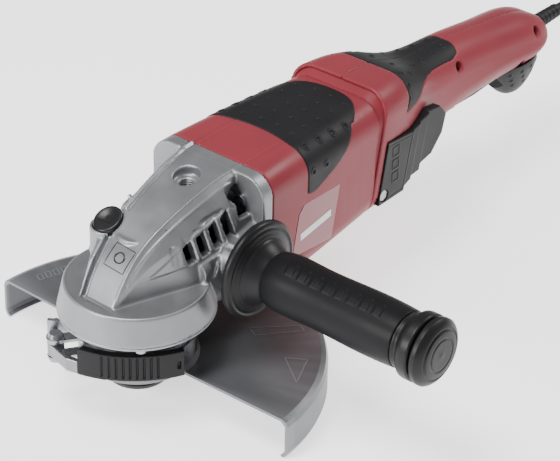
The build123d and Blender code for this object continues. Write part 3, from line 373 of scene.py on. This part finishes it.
def remade(node, voxel, rounds=2, fill=(), cut=()):
    """A dense copy of a CAD node's mesh with softened edges, which stands for the node.

    The solids in fill are joined to it first, and those in cut are taken away.
    """
    base = frame["nodes"][node].data.copy()
    start = merged([base, *fill]) if fill else base
    piece = link(bpy.data.objects.new(node + "_skin", start))
    piece.modifiers.new("weld", "WELD").merge_threshold = 1e-6

    def remesh():
        step = piece.modifiers.new("remesh", "REMESH")
        step.mode = "VOXEL"
        step.voxel_size = voxel * MM

    remesh()
    cutters = []
    for shape in cut:
        cutters.append(link(bpy.data.objects.new("cutter", shape)))
        step = piece.modifiers.new("cut", "BOOLEAN")
        step.operation = "DIFFERENCE"
        step.solver = "MANIFOLD"
        step.object = cutters[-1]
    if cut:
        remesh()
    smooth = piece.modifiers.new("smooth", "SMOOTH")
    smooth.factor = 0.5
    smooth.iterations = rounds
    dense = own_mesh(piece)
    piece.modifiers.clear()
    for cutter in cutters:
        bpy.data.objects.remove(cutter)
    piece.data = dense
    piece.data.shade_smooth()
    return adopt(piece, node)


FAR = 1e9  # a distance beyond any other


class Relief:
    """Raises and sinks lines, rings and areas that are drawn in one of the views."""

    def __init__(self, piece):
        self.mesh = piece.data
        count = len(self.mesh.vertices)
        places = np.empty(count * 3)
        self.mesh.vertices.foreach_get("co", places)
        self.places = places.reshape(-1, 3) / MM
        normals = np.empty(count * 3)
        self.mesh.vertex_normals.foreach_get("vector", normals)
        self.normals = normals.reshape(-1, 3)
        self.shift = np.zeros(count)

    def seen(self, view, low, high, facing, within):
        """The vertices that face the view inside the drawing's box, and where they are in it."""
        first, second, depth, way = VIEWS[view]
        flat = self.places[:, (first, second)]
        inside = (flat >= low).all(1) & (flat <= high).all(1)
        mask = inside & (self.normals[:, depth] * way > facing)
        if within:
            deep = self.places[:, depth] * way
            mask &= (deep >= within[0]) & (deep <= within[1])
        index = np.nonzero(mask)[0]
        return index, flat[index]

    @staticmethod
    def soft(distance, reach, flat):
        """1 near the line, falling smoothly to 0 at its reach."""
        share = np.clip((reach - distance) / max(reach * (1 - flat), 1e-6), 0, 1)
        return share * share * (3 - 2 * share)

    @staticmethod
    def gap(places, start, end):
        """How far each place is from the run between two points."""
        run = end - start
        along = np.clip(((places - start) @ run) / max(run @ run, 1e-9), 0, 1)
        return np.linalg.norm(places - start - along[:, None] * run, axis=1)

    def line(self, path, reach, height, view="top", flat=0.3, facing=0.2, within=None):
        """Raises or sinks the surface along an open path."""
        path = np.array(path, float)
        low, high = path.min(0) - reach, path.max(0) + reach
        index, places = self.seen(view, low, high, facing, within)
        nearest = np.full(len(index), FAR)
        for start, end in zip(path, path[1:]):
            nearest = np.minimum(nearest, self.gap(places, start, end))
        self.shift[index] += height * self.soft(nearest, reach, flat)

    def ring(self, centre, radius, reach, height, view="top", flat=0.2, facing=0.2, within=None):
        """Raises or sinks the surface along a circle, or over a disc with no radius."""
        centre = np.array(centre, float)
        size = radius + reach
        index, places = self.seen(view, centre - size, centre + size, facing, within)
        gap = np.abs(np.linalg.norm(places - centre, axis=1) - radius)
        self.shift[index] += height * self.soft(gap, reach, flat)

    def area(self, corners, height, edge=1.0, view="top", facing=0.2, within=None):
        """Raises all inside the corners, with a slope of that width at its edge."""
        corners = np.array(corners, float)
        index, places = self.seen(view, corners.min(0), corners.max(0), facing, within)
        inside = np.zeros(len(index), bool)
        nearest = np.full(len(index), FAR)
        for start, end in zip(corners, np.roll(corners, -1, 0)):
            run = end - start
            nearest = np.minimum(nearest, self.gap(places, start, end))
            if abs(run[1]) > 1e-9:
                share = (places[:, 1] - start[1]) / run[1]
                crosses = places[:, 0] < start[0] + share * run[0]
                inside ^= (share >= 0) & (share < 1) & crosses
        share = np.clip(nearest / edge, 0, 1) * inside
        self.shift[index] += height * share * share * (3 - 2 * share)

    def dimple(self, centre, view="top", size=1.0, within=None):
        """A small pit with a raised ring round it."""
        self.ring(centre, 1.9 * size, 0.8 * size, 0.30 * size, view, 0.1, 0.3, within)
        self.ring(centre, 0, 1.5 * size, -0.62, view, 0.35, 0.3, within)

    def rib(self, angles, reach, height, low, high):
        """Upright lines around the spindle axis at those angles in degrees."""
        x, y, z = self.places.T
        radius = np.hypot(x, y)
        turn = np.arctan2(y, x)
        outward = (self.normals[:, 0] * x + self.normals[:, 1] * y) / radius
        mask = (outward > 0.5) & (z > low) & (z < high)
        for angle in angles:
            gap = np.abs(turn - radians(angle)) * radius
            self.shift += height * self.soft(gap, reach, 0.3) * mask

    def bands(self, places, reach, height):
        """Rings round the tool at those places along it, raised or sunk."""
        for place in places:
            self.shift += height * self.soft(np.abs(self.places[:, 0] - place), reach, 0.3)

    def done(self):
        """Moves the vertices along their normals by what has been drawn."""
        places = (self.places + self.normals * self.shift[:, None]) * MM
        self.mesh.vertices.foreach_set("co", places.ravel())
        self.mesh.update()


# ------------------------------------------------------------------ mesh helpers
def mesh_piece(name, points, faces):
    """A new piece from points in millimetres and its faces."""
    mesh = bpy.data.meshes.new(name)
    mesh.from_pydata([[value * MM for value in point] for point in points], [], faces)
    mesh.update()
    shape = bmesh.new()
    shape.from_mesh(mesh)
    bmesh.ops.recalc_face_normals(shape, faces=shape.faces)
    shape.to_mesh(mesh)
    shape.free()
    return shaded(link(bpy.data.objects.new(name, mesh)))


def swept(name, path, section, closed=False):
    """A closed section, given as (sideways, upwards) pairs, carried along the path."""
    path = [Vector(point) for point in path]
    count, ring = len(path), len(section)
    points = []
    for index, here in enumerate(path):
        after = path[(index + 1) % count] if closed or index + 1 < count else here
        before = path[index - 1] if closed or index else here
        ahead = (after - before).normalized()
        side = ahead.cross(Vector((0, 0, 1))).normalized()
        lift = side.cross(ahead).normalized()
        points += [here + side * a + lift * b for a, b in section]
    faces = []
    for index in range(count if closed else count - 1):
        base, top = index * ring, (index + 1) % count * ring
        faces += [(base + k, base + (k + 1) % ring, top + (k + 1) % ring, top + k)
                  for k in range(ring)]
    if not closed:
        faces += [tuple(range(ring)), tuple(range((count - 1) * ring, count * ring))]
    return mesh_piece(name, points, faces)


def lathe(name, profile, x):
    """A ring turned round an upright axis at x, from (radius, height) pairs."""
    steps = 64
    points = []
    for radius, height in profile:
        for step in range(steps):
            turn = 2 * pi * step / steps
            points.append((x + radius * cos(turn), radius * sin(turn), height))
    rows = [range(row * steps, (row + 1) * steps) for row in range(len(profile))]
    faces = []
    for low, high in zip(rows, [*rows[1:], rows[0]]):
        for step in range(steps):
            after = (step + 1) % steps
            faces.append((low[step], low[after], high[after], high[step]))
    return mesh_piece(name, points, faces)


def between(stations, x, column):
    """A station table's value at x."""
    for first, second in zip(stations, stations[1:]):
        if min(first[0], second[0]) <= x <= max(first[0], second[0]):
            share = (x - first[0]) / (second[0] - first[0])
            return first[column] + share * (second[column] - first[column])
    first, last = stations[0], stations[-1]
    return (first if abs(x - first[0]) < abs(x - last[0]) else last)[column]


# ------------------------------------------------------------------ gear head
# x, crease y and edge y of the wedge's top panel
WEDGE = [(-74, 21.8, 27.4), (-56, 19.8, 25.2), (-40, 18.7, 24.0), (-24, 17.6, 22.5),
         (-8, 16.4, 20.8), (8, 14.8, 18.4), (22, 14.0, 16.5), (32, 13.7, 15.0), (40, 13.4, 13.9)]
CREASE, EDGE = 1, 2  # columns of the wedge's table


def panel_line(x_start, x_end, share, column=CREASE):
    """Points (x, y) along the wedge's top panel, at a share of its crease or edge."""
    return [(x, share * between(WEDGE, x, column)) for x in np.linspace(x_start, x_end, 12)]


# shoulder and base of the flank: x, shoulder y and z, base y
FLANK = [(-62, 34.3, 108.7, 46.2), (-56, 33.5, 108.0, 45.5), (-40, 31.8, 104.5, 42.5),
         (-24, 30.0, 100.5, 38.5), (-8, 27.0, 96.0, 32.5), (8, 22.5, 90.0, 26.0)]
WEDGE_FOOT = 58.5
WALL_LOW = 76  # where the flank's wall ends
WALL_THICK = 7
WALL_INSET = 0.15  # how far the wall lies inside the casting's face
FIN_TIPS = [-11.5, -22.5, -33.5, -44.5, -55.5]  # where each fin's outer edge starts at the top
FIN_LEAN = 4.0
FIN_WIDTH = 3.0


def flank_wall(side):
    """The flank's wall without openings, from its shoulder to its foot."""
    rings = []
    for x, y, z, foot in FLANK:
        low = y + (foot - y) * (z - WALL_LOW) / (z - WEDGE_FOOT)
        rings.append([(x, side * (y - WALL_INSET), z), (x, side * (low - WALL_INSET), WALL_LOW),
                      (x, side * (low - WALL_THICK), WALL_LOW),
                      (x, side * (y - WALL_THICK), z + 2)])
    return solid(rings)


def fin_gap(side, front, rear, top_front, top_rear, foot):
    """The opening between two fins, which lean backwards towards their feet."""
    rings = []
    for y in (17, 58):
        lean = FIN_LEAN if y > 40 else FIN_LEAN * 0.6
        rings.append([(front, side * y, top_front), (rear, side * y, top_rear),
                      (rear - lean, side * y, foot + 1.2), (front - lean, side * y, foot)])
    return solid(rings)


def pocket_wall(side):
    """The triangle by which the flank runs on into the screw pocket."""
    return solid([
        [(-57, side * y, 121.4 + lift), (-68.5, side * y, 122 + lift), (-57, side * y, 103)]
        for y, lift in ((21, 0.5), (26.2, -1.0))
    ])


def cheek(side):
    """The belly's cheek beside the motor's front bearing, under the fins."""
    rings = []
    for x, low, high in ((-24, 38.5, 36.0), (-50, 45.5, 42.5), (-71, 48.3, 45.5)):
        top = 80 + (-26 - x) * 0.2
        rings.append([(x, side * low, 55), (x, side * high, top),
                      (x, side * (high - WALL_THICK), top), (x, side * (low - WALL_THICK), 55)])
    return solid(rings)


def lock_fin():
    """The fin that runs from the spindle lock down to the round base."""
    # x, outer y and top z, inner y and top z, bottom z
    stations = [(9, -21.5, 98.5, -16.0, 101.5, 90), (15, -20.6, 97.0, -15.8, 98.3, 88),
                (26, -18.2, 87.4, -15.0, 87.9, 76), (33, -16.4, 77.4, -14.5, 77.6, 66),
                (39.5, -15.4, 66.6, -14.0, 66.6, 62)]
    return solid([[(x, y_out, z_out), (x, y_in, z_in), (x, y_in, low), (x, y_out, low)]
                  for x, y_out, z_out, y_in, z_in, low in stations])


ABOVE_BASE = (60, 200)  # heights of the head's faces over its round base


def make_gear_head():
    fill = [lock_fin()]
    cut = []
    for side in (-1, 1):
        fill += [flank_wall(side), pocket_wall(side), cheek(side)]
        for front, rear in zip(FIN_TIPS, FIN_TIPS[1:]):
            share = (-14 - front) / 44  # how far back along the row of fins
            cut.append(fin_gap(side, front - FIN_WIDTH / 2, rear + FIN_WIDTH / 2,
                               95.5 + 13 * share, 99.5 + 13 * share, 81.5 + 7.5 * share))
    head = remade("gear_head", 0.8, 2, fill, cut)
    relief = Relief(head)
    # ridge with a groove on each side along the right edge of the top panel
    for share, reach, height in ((-1.0, 1.5, 1.1), (-0.87, 1.0, -0.9), (-1.14, 0.9, -0.6)):
        relief.line(panel_line(-83, -9, share), reach, height, within=ABOVE_BASE)
    # deep groove beside the spindle lock's fin
    relief.line([(10, -13.6), (22, -13.2), (32, -12.7), (38.2, -12.4)], 1.9, -3.2, flat=0.45,
                facing=0.05, within=ABOVE_BASE)
    # crease of the left edge, and of the chamfer below it
    relief.line(panel_line(-83, 34, 1.0), 0.8, 0.5, within=ABOVE_BASE)
    relief.line(panel_line(-70, 26, 1.0, EDGE), 0.8, 0.55, within=ABOVE_BASE)
    # the panel's foot, with a small hatched mark on the base in front of it
    relief.line([(38.6, -11.5), (39.4, 13.5)], 0.7, 0.5, within=ABOVE_BASE)
    for step in range(9):
        y = -6.5 + 1.55 * step
        relief.line([(41.0, y), (43.2, y + 0.9)], 0.45, 0.35, within=ABOVE_BASE)
    relief.line([(40.6, -8.6), (46.5, -8.8)], 0.5, -0.5, within=ABOVE_BASE)
    # raised face of both flanks, from its front corner to the fins
    for view in ("left", "right"):
        relief.area([(14.5, 80.3), (-9, 93.5), (-24, 101.5), (-56, 109), (-59, 96), (-57, 89),
                     (-14, 81.0)], 0.9, 0.8, view, 0.1, within=(14, 60))
    # rim of the round base
    relief.ring((0, 0), 48.2, 1.3, 0.45, within=(60, 68))
    relief.done()
    return head


head_skin = make_gear_head()


def surface(piece):
    """A function that gives the piece's height at (x, y), by a ray cast straight down."""
    tree = BVHTree.FromObject(piece, bpy.context.evaluated_depsgraph_get())
    down = Vector((0, 0, -1))
    return lambda x, y: tree.ray_cast(Vector((x * MM, y * MM, 1)), down)[0].z / MM


def laid(name, outline, height, thick=0.35, width=0.7):
    """A thin painted line that lies on the surface, round a closed outline."""
    points = []
    pairs = zip(outline, outline[1:] + outline[:1])
    for (x, y), (x_end, y_end) in pairs:
        points += [(x + (x_end - x) * k / 8, y + (y_end - y) * k / 8) for k in range(8)]
    path = [(x, y, height(x, y) + thick / 2) for x, y in points]
    half = width / 2
    section = [(-half, -thick), (half, -thick), (half, 0), (-half, 0)]
    return swept(name, path, section, closed=True)


on_head = surface(head_skin)
# a blank frame with a ring in it, laid as black lines on the top panel: painted shade that stands
# in for the engraved outline's groove
badge = laid("head_badge_frame", [(12.4, -5.3), (13.2, 12.0), (24.9, 10.4), (24.2, -6.8)], on_head)
adopt(badge, slot="lock_black", look="groove_shade_black")
oval = [(18.7 + 2.6 * cos(2 * pi * k / 20), 2.6 + 3.8 * sin(2 * pi * k / 20)) for k in range(20)]
adopt(laid("head_badge_ring", oval, on_head, width=1.6), slot="lock_black", look="groove_shade_black")

# thread of the top handle's hole
PITCH, THREAD_LOW, THREAD_TOP = 1.7, 101, 117.3
ROOT_RADIUS, CREST_RADIUS, OUTER_RADIUS = 6.15, 5.3, 7.2
threads = [(OUTER_RADIUS, THREAD_LOW)]
for turn in range(9):
    threads += [(ROOT_RADIUS, 102 + turn * PITCH), (CREST_RADIUS, 102.85 + turn * PITCH)]
threads += [(ROOT_RADIUS, THREAD_TOP), (OUTER_RADIUS, THREAD_TOP)]
adopt(lathe("top_thread", threads, -51), slot="cast_aluminium")

# black plates behind the openings of the flanks: painted shade that makes the slots look dark and
# deep
for side, name in ((-1, "right"), (1, "left")):
    rows = [[(x, side * y, z) for y, z in ((19.5, 76), (17.5, 76), (17.5, 108), (19.5, 108))]
            for x in (-60, -8)]
    # a thin black sheet standing where there is only shade inside the casting
    shade_plate = link(bpy.data.objects.new("slot_shade_plate_" + name, solid(rows)))
    adopt(shaded(shade_plate), slot="black_plastic")
remade("bearing_cover", 0.9)
LOCK_X, LOCK_Y = 3, -22
lock = Relief(remade("lock_button", 0.45))
lock.ring((LOCK_X, LOCK_Y), 0, 8.6, -1.3, within=(105, 120))
lock.done()

# the spindle lock's spring, which the button presses towards its seat
spring_mesh = frame["nodes"]["lock_spring"].data.copy()
spring = link(bpy.data.objects.new("lock_spring_coil", spring_mesh))
adopt(spring, "lock_spring")
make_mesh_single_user(spring)

# ------------------------------------------------------------------ motor housing
LEAN = 0.19  # how far the joint to the rear body leans for each millimetre of height
LEAN_CENTRE_Z = 77
CORNER_STEPS = 10


def rounded_ring(x, half, bottom, top, radius, lean=0.0, inset=0.0):
    """Points round the tool at x, along a rounded rectangle."""
    half, bottom, top, radius = half - inset, bottom + inset, top - inset, radius - inset
    points = []
    for corner, (sy, sz) in enumerate(((1, 1), (-1, 1), (-1, -1), (1, -1))):
        for step in range(CORNER_STEPS + 1):
            turn = pi / 2 * (corner + step / CORNER_STEPS)
            y = sy * (half - radius) + radius * cos(turn)
            z = (top - radius if sz > 0 else bottom + radius) + radius * sin(turn)
            points.append((x - lean * (z - LEAN_CENTRE_Z), y, z))
    return points


# the red under the grip, which shows where its outline curves in from its recess
collar = solid([rounded_ring(-205, 42.6, 31.5, 122.4, 20, inset=0.22),
                rounded_ring(-160, 45.5, 30, 124.4, 19, inset=0.22),
                rounded_ring(-119, 47.85, 29.0, 125.8, 18, inset=0.22)])
housing = Relief(remade("motor_housing", 0.95, 2, [collar]))
for x_end, y, reach, height in ((-122.8, 23.6, 1.3, 0.45), (-124.4, -17.0, 1.3, 0.45),
                                (-124.0, -20.2, 1.4, -0.5)):
    housing.line([(-81, y), (x_end, y)], reach, height, within=(110, 140))
housing.done()

GRIP_PROUD = 0.55  # how far the soft grip stands above the red
# the curved front and rear ends of the grip, as (x, y)
across_steps = range(-60, 61, 4)
front_arc = [(-127.5 + 10 * (y / 44) ** 2, y) for y in across_steps]
rear_arc = [(-206.5 + 34 * abs(y / 43) ** 2.6, y) for y in across_steps]
front_outline = [*front_arc, (-80, 60), (-80, -60)]
rear_outline = [*rear_arc, (-240, 60), (-240, -60)]
front_cut = solid([[(x, y, z) for x, y in front_outline] for z in (110, 140)])
rear_cut = solid([[(x, y, z) for x, y in rear_outline] for z in (100, 140)])
grip = Relief(remade("motor_grip", 0.5, 3, [], [front_cut, rear_cut]))
grip.shift += GRIP_PROUD
for row in range(5):
    for across in (7.3, 22, 37):
        if row == 4 and across > 30:
            continue
        for way in (-1, 1):
            x = -137.7 - 14.8 * row + 3.3 * ((across - 7.3) / 14.7) ** 1.2
            grip.dimple((x, way * across), size=1.25 if across > 30 else 1.1)
for view in ("left", "right"):
    for x, z in ((-127, 109.5), (-142, 108.5)):
        grip.dimple((x, z), view, 1.2)
grip.done()

band = solid([rounded_ring(-201.0, 42.8, 31.4, 122.5, 20, LEAN, 1.9),
              rounded_ring(-208.5, 42.8, 31.6, 126.5, 20, LEAN, 1.0)])
band_piece = link(bpy.data.objects.new("joint_band", band))
adopt(shaded(band_piece, 30), slot="red_plastic")
# a plain stripe on each label plate, which stands a little proud of the housing's tapering side
HOUSING_FRONT_X, HOUSING_HALF, HOUSING_TAPER = -82, 49.5, 0.0447
STRIPE_START_X, STRIPE_END_X, STRIPE_RISE, STRIPE_PROUD = -114, -149, 0.09, 0.12
STRIPE_LOW, STRIPE_TOP, STRIPE_THICK = 60, 65.5, 0.5
for side, name in ((1, "left"), (-1, "right")):
    rows = []
    for x in np.linspace(STRIPE_START_X, STRIPE_END_X, 8):
        y = side * (HOUSING_HALF - (HOUSING_FRONT_X - x) * HOUSING_TAPER + STRIPE_PROUD)
        rise = (STRIPE_START_X - x) * STRIPE_RISE
        inner, low, top = y - side * STRIPE_THICK, STRIPE_LOW + rise, STRIPE_TOP + rise
        rows.append([(x, inner, low), (x, y, low), (x, y, top), (x, inner, top)])
    stripe = link(bpy.data.objects.new("label_stripe_" + name, solid(rows)))
    adopt(shaded(stripe), slot="label_silver", look="white_print")

# ------------------------------------------------------------------ rear body and handle
SEAM = [(-219, 127.0), (-234, 126.4), (-250, 124.6), (-268, 119.0), (-284, 113.6), (-300, 110.6),
        (-320, 108.8), (-350, 106.6), (-380, 102.2), (-413, 97.4), (-434, 90.0)]
seam = swept("top_seam", [(x, 0, z) for x, z in SEAM],
             [(-0.9, -2.5), (0.9, -2.5), (0.9, -0.15), (-0.9, -0.15)])
adopt(seam, slot="red_plastic", look="red_seam")
boot = Relief(remade("strain_relief", 0.5))
BOOT_GROOVE_X, BOOT_GROOVE_PITCH = -455, 5.2
boot.bands([BOOT_GROOVE_X - BOOT_GROOVE_PITCH * step for step in range(7)], 1.5, -0.9)
boot.done()
pommel = None  # one piece for both sides, made with the left one
for side, view in ((1, "left"), (-1, "right")):
    remade("rear_shell_" + view, 1.0)
    saddle = Relief(remade("saddle_grip_" + view, 0.5))
    for step in range(4):
        saddle.dimple((-283 - 15 * step, side * (14 - 2.3 * step)), within=(95, 140))
    for x, y in ((-264, 9), (-256, 24), (-266, 24)):
        saddle.dimple((x, side * y), within=(95, 140))
    for x, z in ((-246, 112), (-252, 118)):
        saddle.dimple((x, z), view)
    saddle.done()
    cover = Relief(remade("side_cover_" + view, 0.5))
    for z in (80, 69.5, 59):
        low, top = z - 3.5, z + 3.5
        square = [(-222, low), (-229, low), (-229, top), (-222, top), (-222, low)]
        cover.line(square, 0.7, 0.45, view)
    cover.line([(-214, 88), (-244, 85.5), (-234.5, 45), (-212.5, 45)], 0.7, -0.3, view)
    cover.done()
    pommel = pommel or Relief(remade("pommel_grip", 0.55))
    for row, z in enumerate((53, 46, 39)):
        for column in range(4 - row):
            pommel.dimple((-408 - 12 * column - 5 * row, z), view, 0.9)
pommel.done()

# ------------------------------------------------------------------ lever, side handle, guard marks
LEVER_SPLIT_Y = -5  # the arm lies on one side of it and the grip on the other


def lever_side(x_low, y):
    """A block over all of the lever that lies between its split and y."""
    corners = ((min(y, LEVER_SPLIT_Y), 5), (max(y, LEVER_SPLIT_Y), 5),
               (max(y, LEVER_SPLIT_Y), 45), (min(y, LEVER_SPLIT_Y), 45))
    return solid([[(x, y, z) for y, z in corners] for x in (x_low, 70)])


arm_side = lever_side(30, -60)
grip_side = lever_side(-5, 60)
lever_arm_mesh = frame["nodes"]["lever_arm"].data.copy()
lever = Relief(remade("lever_grip", 0.45, 2, [lever_arm_mesh], [arm_side]))
lever.rib([14 + 5.6 * step for step in range(9)], 1.1, -1.1, 17.5, 34)
lever.rib([75.5], 1.6, -1.8, 22, 28)
lever.done()
remade("lever_arm", 0.45, 2, [], [grip_side])

HANDLE_X, HANDLE_Z = -50, 75.5
core_relief = Relief(remade("side_handle_core", 0.8))
core_relief.ring((HANDLE_X, HANDLE_Z), 30.5, 1.4, -0.9, "left", within=(50, 80))
core_relief.ring((HANDLE_X, HANDLE_Z), 24.5, 1.2, -0.4, "left", within=(50, 80))
core_relief.done()
sleeve = Relief(remade("side_handle_sleeve", 0.6))
for step in range(8):
    y = 94 + 10.2 * step
    corners = [(-47, y), (-37.5, y + 1), (-37.5, y + 8), (-47, y + 7)]
    sleeve.area(corners, 0.7, 0.8, within=(76, 120))
sleeve.done()
cap = Relief(remade("side_handle_cap", 0.5))
cap.ring((HANDLE_X, HANDLE_Z), 17.5, 1.2, -0.8, "left")
cap.ring((HANDLE_X, HANDLE_Z), 11.5, 1.0, -0.5, "left")
cap.done()

GUARD_TOP = 8.5
MARKS = {
    "triangle": [(-57, 82), (-65, 95), (-40, 106)],
    "bar": [(-68, 41), (-93, 66), (-90, 72), (-64, 50)],
    "block_1": [(-20, -114), (-17, -108), (-20.5, -107), (-23.5, -113)],
    "block_2": [(-26, -112), (-23, -106), (-26.5, -105), (-29.5, -111)],
    "block_3": [(-32, -110), (-29, -104), (-32.5, -103), (-35.5, -109)],
    "block_4": [(-38, -108), (-35, -102), (-38.5, -101), (-41.5, -107)],
}
for name, outline in MARKS.items():
    mark = laid("guard_mark_" + name, outline, lambda x, y: GUARD_TOP, 0.5, width=1.0)
    adopt(mark, body="guard", slot="guard_paint")

# ------------------------------------------------------------------ floor and light
FLOOR_HALF = 2500
LAMPS = [  # name, place, what it points at, size in metres, power in watts
    ("key", (0.45, -0.1, 1.5), (-0.1, 0, 0.05), 0.6, 20),
    ("back", (-1.2, 0.4, 1.1), (-0.15, 0, 0.08), 0.5, 11),
    ("front", (1.5, -0.45, 0.75), (0, 0, 0.05), 0.6, 28),
]


def add_stage():
    corners = [(x * FLOOR_HALF, y * FLOOR_HALF, FLOOR_Z)
               for x, y in ((-1, -1), (1, -1), (1, 1), (-1, 1))]
    floor = mesh_piece("floor", corners, [(0, 1, 2, 3)])
    pale = bpy.data.materials.new("pale_floor")
    pale.use_nodes = True
    shader = pale.node_tree.nodes["Principled BSDF"]
    shader.inputs["Base Color"].default_value = (0.95, 0.95, 0.95, 1)
    shader.inputs["Roughness"].default_value = 0.9
    shader.inputs["Emission Color"].default_value = (1, 1, 1, 1)
    shader.inputs["Emission Strength"].default_value = 1.3
    floor.data.materials.append(pale)
    world = bpy.data.worlds.new("studio")
    world.use_nodes = True
    background = world.node_tree.nodes["Background"]
    background.inputs["Color"].default_value = (1, 1, 1, 1)
    background.inputs["Strength"].default_value = 0.42
    bpy.context.scene.world = world
    for name, place, aim, size, power in LAMPS:
        data = bpy.data.lights.new(name, "AREA")
        data.size = size
        data.energy = power
        lamp = link(bpy.data.objects.new(name, data))
        lamp.location = place
        lamp.rotation_euler = (Vector(aim) - Vector(place)).to_track_quat("-Z", "Y").to_euler()


add_stage()
